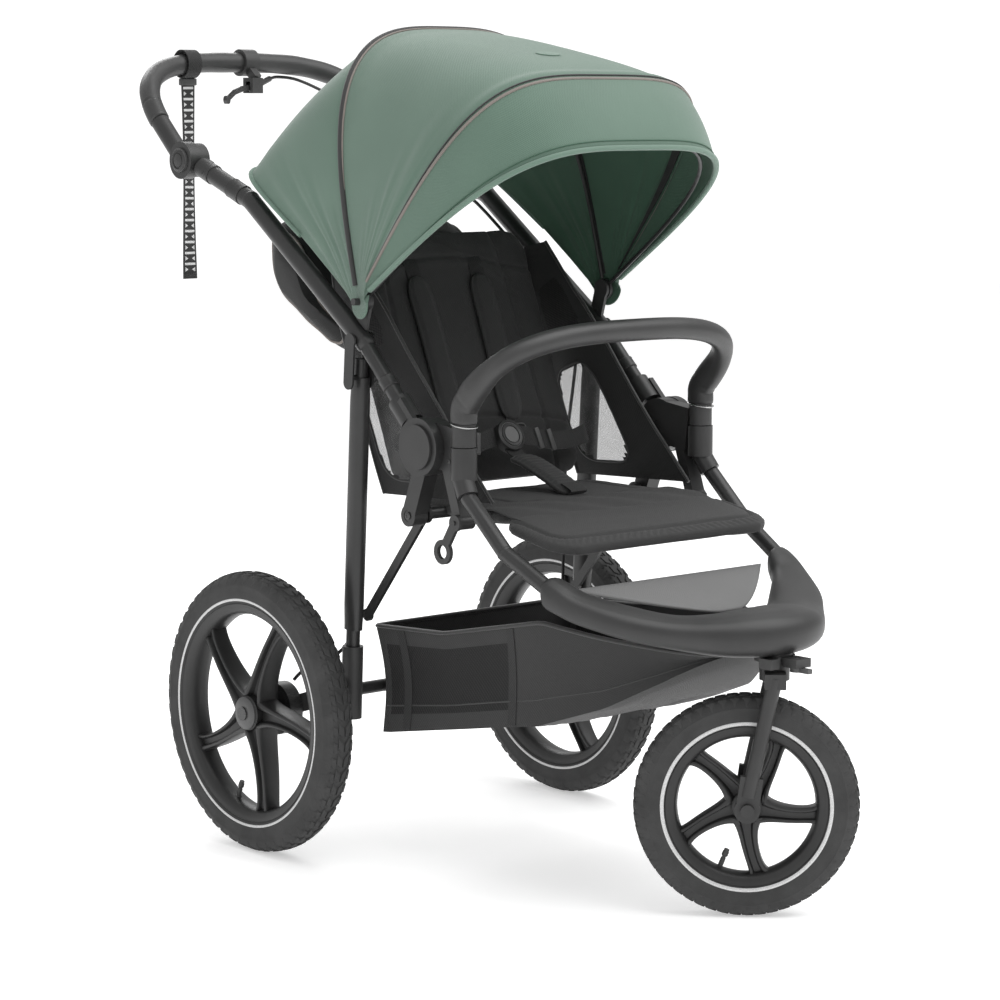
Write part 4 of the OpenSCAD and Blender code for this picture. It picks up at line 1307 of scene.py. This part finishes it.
basket = {"half": [(186, 64), (186, -20), (186, -120), (181, -200), (174, -270),
                   (158, -325), (138, -372), (92, -440), (50, -474), (18, -484)],
          "top": [(-490, 346), (-273, 380), (-84, 342), (70, 334)],
          "low": [(-488, 344), (-430, 306), (-364, 268), (-262, 233), (-190, 222),
                  (60, 178), (70, 178)]}


def along(points, y):
    for (a, p), (b, q) in zip(points, points[1:]):
        if y <= b:
            return mix(p, q, max(0.0, (y - a) / (b - a)))
    return points[-1][1]


def basketRings():
    half = evenly(curveThrough([Vector((x, y, 0)) for x, y in basket["half"]], 6), 44)
    loop = [(p.x, p.y) for p in half] + [(-p.x, p.y) for p in reversed(half)]
    back = [(x, 66) for x in spread(-170, 170, 20)]
    loop = loop + back
    middleY = -190
    rings = []
    for h in spread(1, 0, 12):
        ring = []
        for x, y in loop:
            top, low = along(basket["top"], y), along(basket["low"], y)
            pull = 1 - 0.035 * math.sin(math.pi * h) - 0.03 * (1 - h) ** 2
            ring.append(at(x * pull, middleY + (y - middleY) * pull, mix(low + 2, top - 1, h)))
        rings.append(ring)
    for s in (0.93, 0.84, 0.7, 0.54, 0.36, 0.18, 0.04):
        ring = []
        for x, y in loop:
            py = middleY + (y - middleY) * s * 0.97
            ring.append(at(x * s * 0.97, py, along(basket["low"], py) + 2
                           - 3.5 * math.sin(math.pi * s) * (abs(py) < 300)))
        rings.append(ring)
    return rings


basketShell = loft("basketShell", basketRings(), True, False, (), 60, False)
pick(basketShell)
bpy.ops.object.mode_set(mode="EDIT")
bpy.ops.mesh.select_all(action="SELECT")
bpy.ops.mesh.remove_doubles(threshold=0.00002)
bpy.ops.object.mode_set(mode="OBJECT")
basketArea = sum(p.area for p in basketShell.data.polygons)
dress(basketShell, basketCloth, darkMesh)
for face in basketShell.data.polygons:
    y, z = face.center.y * 1000 + centreY, face.center.z * 1000
    top, low = along(basket["top"], y), along(basket["low"], y)
    h = (z - low) / max(20, top - low)
    face.material_index = 1 if 0.2 < h < 0.82 and -215 < y < 40 and abs(face.normal.z) < 0.5 else 0
wall = basketShell.modifiers.new("cloth", "SOLIDIFY")
wall.thickness, wall.offset = 0.002, 0
bpy.ops.object.modifier_apply(modifier="cloth")
bpy.ops.object.shade_smooth_by_angle(angle=math.radians(50))
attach(basketShell, "chassis")
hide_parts("basket")
basketArea / 0.75 / 0.85
rim = basketRings()[0]
settle(tubeAlong("basketRimBinding", evenly(rim + [rim[0]], 260), 0.0042, 10, (0, 0, 1), 0.7),
       "chassis", blackPiping)
seamRing = basketRings()[9]
settle(tubeAlong("basketLowSeam", evenly(seamRing + [seamRing[0]], 240), 0.0015, 8, (0, 0, 1)),
       "chassis", blackPiping)
for side, tag in ((-1, "Right"), (1, "Left")):
    for i, y in enumerate((10, -215)):
        column = []
        for h in spread(0.02, 0.98, 10):
            pull = 1 - 0.035 * math.sin(math.pi * h) - 0.03 * (1 - h) ** 2
            wide = 187.4 if y > -100 else 180.8
            column.append(at(side * wide * pull, -190 + (y + 190) * pull,
                             mix(along(basket["low"], y) + 2, along(basket["top"], y) - 1, h)))
        settle(ribbon("basketTape%s%d" % (tag, i), evenly(column, 20), (0, 1, 0), 0.016, 0.0014),
               "chassis", webbingCloth)
print("basket is hung")


# nose cover and foot panel

noseRail = {"outer": [(237, -333), (232, -362), (222, -390), (189, -446), (142, -495),
                      (99, -537), (65, -563), (31, -577), (0, -581)],
            "inner": [(194, -335), (182, -352), (166, -372), (120, -410), (84, -438),
                      (50, -460), (24, -468), (8, -471), (0, -472)],
            "low": [411, 401, 391, 374, 362, 354, 351, 350, 350],
            "high": [455, 444, 431, 415, 405, 406, 410, 412, 412]}


def noseRings():
    parts = []
    for x, y, z0, z1, ix, iy in ((o[0], o[1], lo, hi, i[0], i[1])
                                 for o, i, lo, hi in zip(noseRail["outer"], noseRail["inner"],
                                                         noseRail["low"], noseRail["high"])):
        parts.append((Vector((x, y, 0)), Vector((ix, iy, 0)), Vector((z0, z1, 0))))
    full = parts + [(Vector((-o.x, o.y, 0)), Vector((-i.x, i.y, 0)), z) for o, i, z in reversed(parts[:-1])]
    outer = curveThrough([p[0] for p in full], 7)
    inner = curveThrough([p[1] for p in full], 7)
    tall = curveThrough([p[2] for p in full], 7)
    rings = []
    count = len(outer) - 1
    for i, (o, n, t) in enumerate(zip(outer, inner, tall)):
        middle = (o + n) / 2
        side = (o - n).normalized()
        wide = (o - n).length / 2
        end = min(i, count - i)
        close = (0.55, 0.82, 0.95, 1.0)[min(end, 3)]
        ring = []
        for k in range(36):
            a = math.tau * k / 36
            c, s = math.cos(a), math.sin(a)
            u = math.copysign(abs(c) ** (2 / 2.5), c)
            h = math.copysign(abs(s) ** (2 / 2.5), s)
            ridge = 1 - 0.05 * bell(u - 0.55, 0.08) * (h > 0)
            spot = middle + side * (u * wide * (0.985 if end > 2 else close))
            ring.append(at(spot.x, spot.y, (t.x + t.y) / 2 + h * (t.y - t.x) / 2 * close * ridge))
        rings.append(ring)
    return rings


nose = loft("noseCover", noseRings(), True, True, (), 45)
settle(nose, "chassis", nosePlastic, ("nose_cover",))

footRings = []
for q in spread(0, 1, 24):
    wide = mix(20, 181, q ** 0.8)
    y = mix(-455, -337, q)
    z = mix(399.5, 430, q)
    footRings.append([at(mix(-wide, wide, k / 24), y,
                         z - 3.4 * math.sin(math.pi * k / 24) * math.sin(math.pi * q))
                      for k in range(25)])
footPanel = loft("footPanel", footRings, False, False, (), 60, False)
footArea = sum(p.area for p in footPanel.data.polygons)
wall = footPanel.modifiers.new("cloth", "SOLIDIFY")
wall.thickness, wall.offset = 0.003, 0
pick(footPanel)
bpy.ops.object.modifier_apply(modifier="cloth")
settle(footPanel, "chassis", panelCloth, ("foot_panel",))
footArea / 0.36 / 0.7
print("nose and foot panel are fitted")


# rear bag and its piping

bag = {"profile": [(262, 868), (290, 890), (318, 903), (340, 901), (350, 886), (351, 858), (346, 826),
                   (329, 799), (304, 778), (248, 745), (192, 716), (168, 709), (150, 709), (140, 722),
                   (143, 733), (178, 754), (215, 778), (240, 822)], "middle": (262, 812)}


def bagRings():
    loop = curveThrough([Vector((0, y, z)) for y, z in bag["profile"]], 4, True)
    rings = []
    for x in spread(-179, 179, 60):
        s = abs(x) / 179
        shrink = (1 - s ** 9 * 0.5) * (1 - 0.02 * math.sin(x * 0.045 + 0.6) ** 2)
        slump = 2.4 * (1 - s * s)
        rings.append([at(x, bag["middle"][0] + (p.y - bag["middle"][0]) * shrink,
                         bag["middle"][1] + (p.z - bag["middle"][1]) * shrink - slump * (p.z < 780) * 0.6
                         + 0.9 * math.sin(p.y * 0.09 + x * 0.03)) for p in loop])
    return rings


bagPiece = loft("rearBag", bagRings(), True, True, (), 60)
settle(bagPiece, "backrest", blackCloth, ("rear_bag",))
for tag, index in (("Right", 3), ("Left", 57)):
    ring = bagRings()[index]
    settle(tubeAlong("bagPiping" + tag, evenly(ring + [ring[0]], 150), 0.0021, 8, (1, 0, 0)),
           "backrest", greyPiping)
print("rear bag is lofted")


# wrist strap: a looped printed webbing that hangs from the handlebar

strap = {"x": -100, "middle": (631.5, 1131.6), "round": 21.2, "drop": 312, "wide": 0.025}
loopPoints = [at(strap["x"], strap["middle"][0] + strap["round"] * math.sin(a),
                 strap["middle"][1] + strap["round"] * math.cos(a))
              for a in (math.tau * k / 48 + math.pi for k in range(49))]
strapLoop = ribbon("wristLoop", loopPoints, (1, 0, 0), strap["wide"], 0.0014)
settle(strapLoop, "wrist_strap", webbingCloth, ("wrist_strap",))
hang = [at(strap["x"] + 1.2 * math.sin(s * 5), strap["middle"][0] - 0.2 + 1.6 * math.sin(s * 4.2),
           strap["middle"][1] - 20 - strap["drop"] * s) for s in spread(0, 1, 80)]
sides = [Vector((math.cos(a), math.sin(a), 0)) for a in (0.25 * math.sin(s * 3.4) for s in spread(0, 1, 80))]
hanging = ribbon("wristWebbing", hang, sides, strap["wide"], 0.0016)
settle(hanging, "wrist_strap", printedWebbing)
hemBlock = bevelBlock("wristStrapHem", hang[-1] + Vector((0, 0, 0.004)),
                      (0.0252, 0.0034, 0.008), None, 0.0008, 2)
settle(hemBlock, "wrist_strap", webbingCloth)
slider = bevelBlock("wristStrapSlider", at(-100, 631.4, 1104), (0.031, 0.0062, 0.011), None, 0.0016, 3)
settle(slider, "wrist_strap", capPlastic)
print("wrist strap hangs")


# small fittings: sleeve edges on the tubes, screws, and sleeves on the rear legs

tubes = {"half": 226, "upperWay": (119, 46), "lowerWay": (87, 87), "upperGirth": 13.6, "lowerGirth": 11.2,
         "face": 232.2}


def sleeve(name, side, centre, direction, half, girth, body):
    # a moulded collar round a tube, with a rolled edge at each end
    way = Vector((0, *direction)).normalized()
    turn = Matrix.Rotation(math.atan2(way.z, way.y), 4, "X") @ Matrix.Rotation(math.radians(90), 4, "Z")
    profile = [(girth - 1.2, -half), (girth + 0.6, -half), (girth + 1.5, -half + 1.2),
               (girth + 1.3, -half + 3), (girth + 1.0, half - 3), (girth + 1.5, half - 1.2),
               (girth + 0.6, half), (girth - 1.2, half)]
    piece = lathe(name, profile, Matrix.Translation(at(side * tubes["half"], *centre)) @ turn, 48, 40)
    return settle(piece, body, discPlastic)


def screw(name, place, side, radius, body):
    s = side
    piece = lathe(name, [(0.2, 0.2 * s), (radius * 0.42, 0.3 * s), (radius * 0.46, 0.9 * s),
                         (radius * 0.8, 0.9 * s), (radius, 0.3 * s), (radius, -1.2 * s), (0.2, -1.2 * s)],
                  Matrix.Translation(place), 24, 40)
    return settle(piece, body, darkMetal)


for side, tag in ((-1, "Right"), (1, "Left")):
    sleeve("tubeCollarTop" + tag, side, (404, 971.2), tubes["upperWay"], 16,
           tubes["upperGirth"], "push_frame")
    sleeve("tubeCollarMid" + tag, side, (330, 942.6), tubes["upperWay"], 15,
           tubes["upperGirth"], "push_frame")
    sleeve("tubeCollarLow" + tag, side, (-16, 686), tubes["lowerWay"], 9, tubes["lowerGirth"], "push_frame")
    screw("hubScrew" + tag, at(side * 240.5, 398, 969), side, 3.0, "push_frame")
    for part, y, z, radius in (("housing", -150, 590, 3.2), ("latch", -166, 508, 4.0),
                               ("link", -62, 507, 5.5)):
        screw(part + "Screw" + tag, at(side * tubes["face"], y, z), side, radius, "chassis")
    legLine = evenly([at(side * 220, 54.5, 690), at(side * 220, 75, 330)], 60)
    legSleeve = tubeAlong("legSleeve" + tag, legLine,
                          lambda s: (10.4 + 0.9 * ease(s * 9) * ease((1 - s) * 9)) / 1000,
                          28, (0, 1, 0), 1.42, 2.4)
    settle(legSleeve, "rear_frame", framePaint)
print("fittings are on")


# finishes for the solids that stay

kept = [
    (framePaint, "frame_tubes seat_cross_bar push_tube_right push_tube_left rear_bow front_bow "
     "rear_legs cross_axle links"),
    (discPlastic, "hinge_housing_right hinge_housing_left fold_disc_right fold_disc_left handle_arms "
     "leg_brackets"),
    (plastic, "head_tube buckle fold_latch bumper_ends handle_hub_inner canopy_mounts brake_clamp "
     "foot_holders trailing_arms parking_pedal"),
    (capPlastic, "buckle_button handle_button_right handle_button_left swivel_lock"),
    (darkMetal, "brake_lever drum_brakes"),
    (cableCover, "handle_cable frame_cable leg_cable"),
    (nosePlastic, "fork"),
]
for finish, names in kept:
    for name in names.split():
        dress(nodes[name], finish)
print("solids are painted")
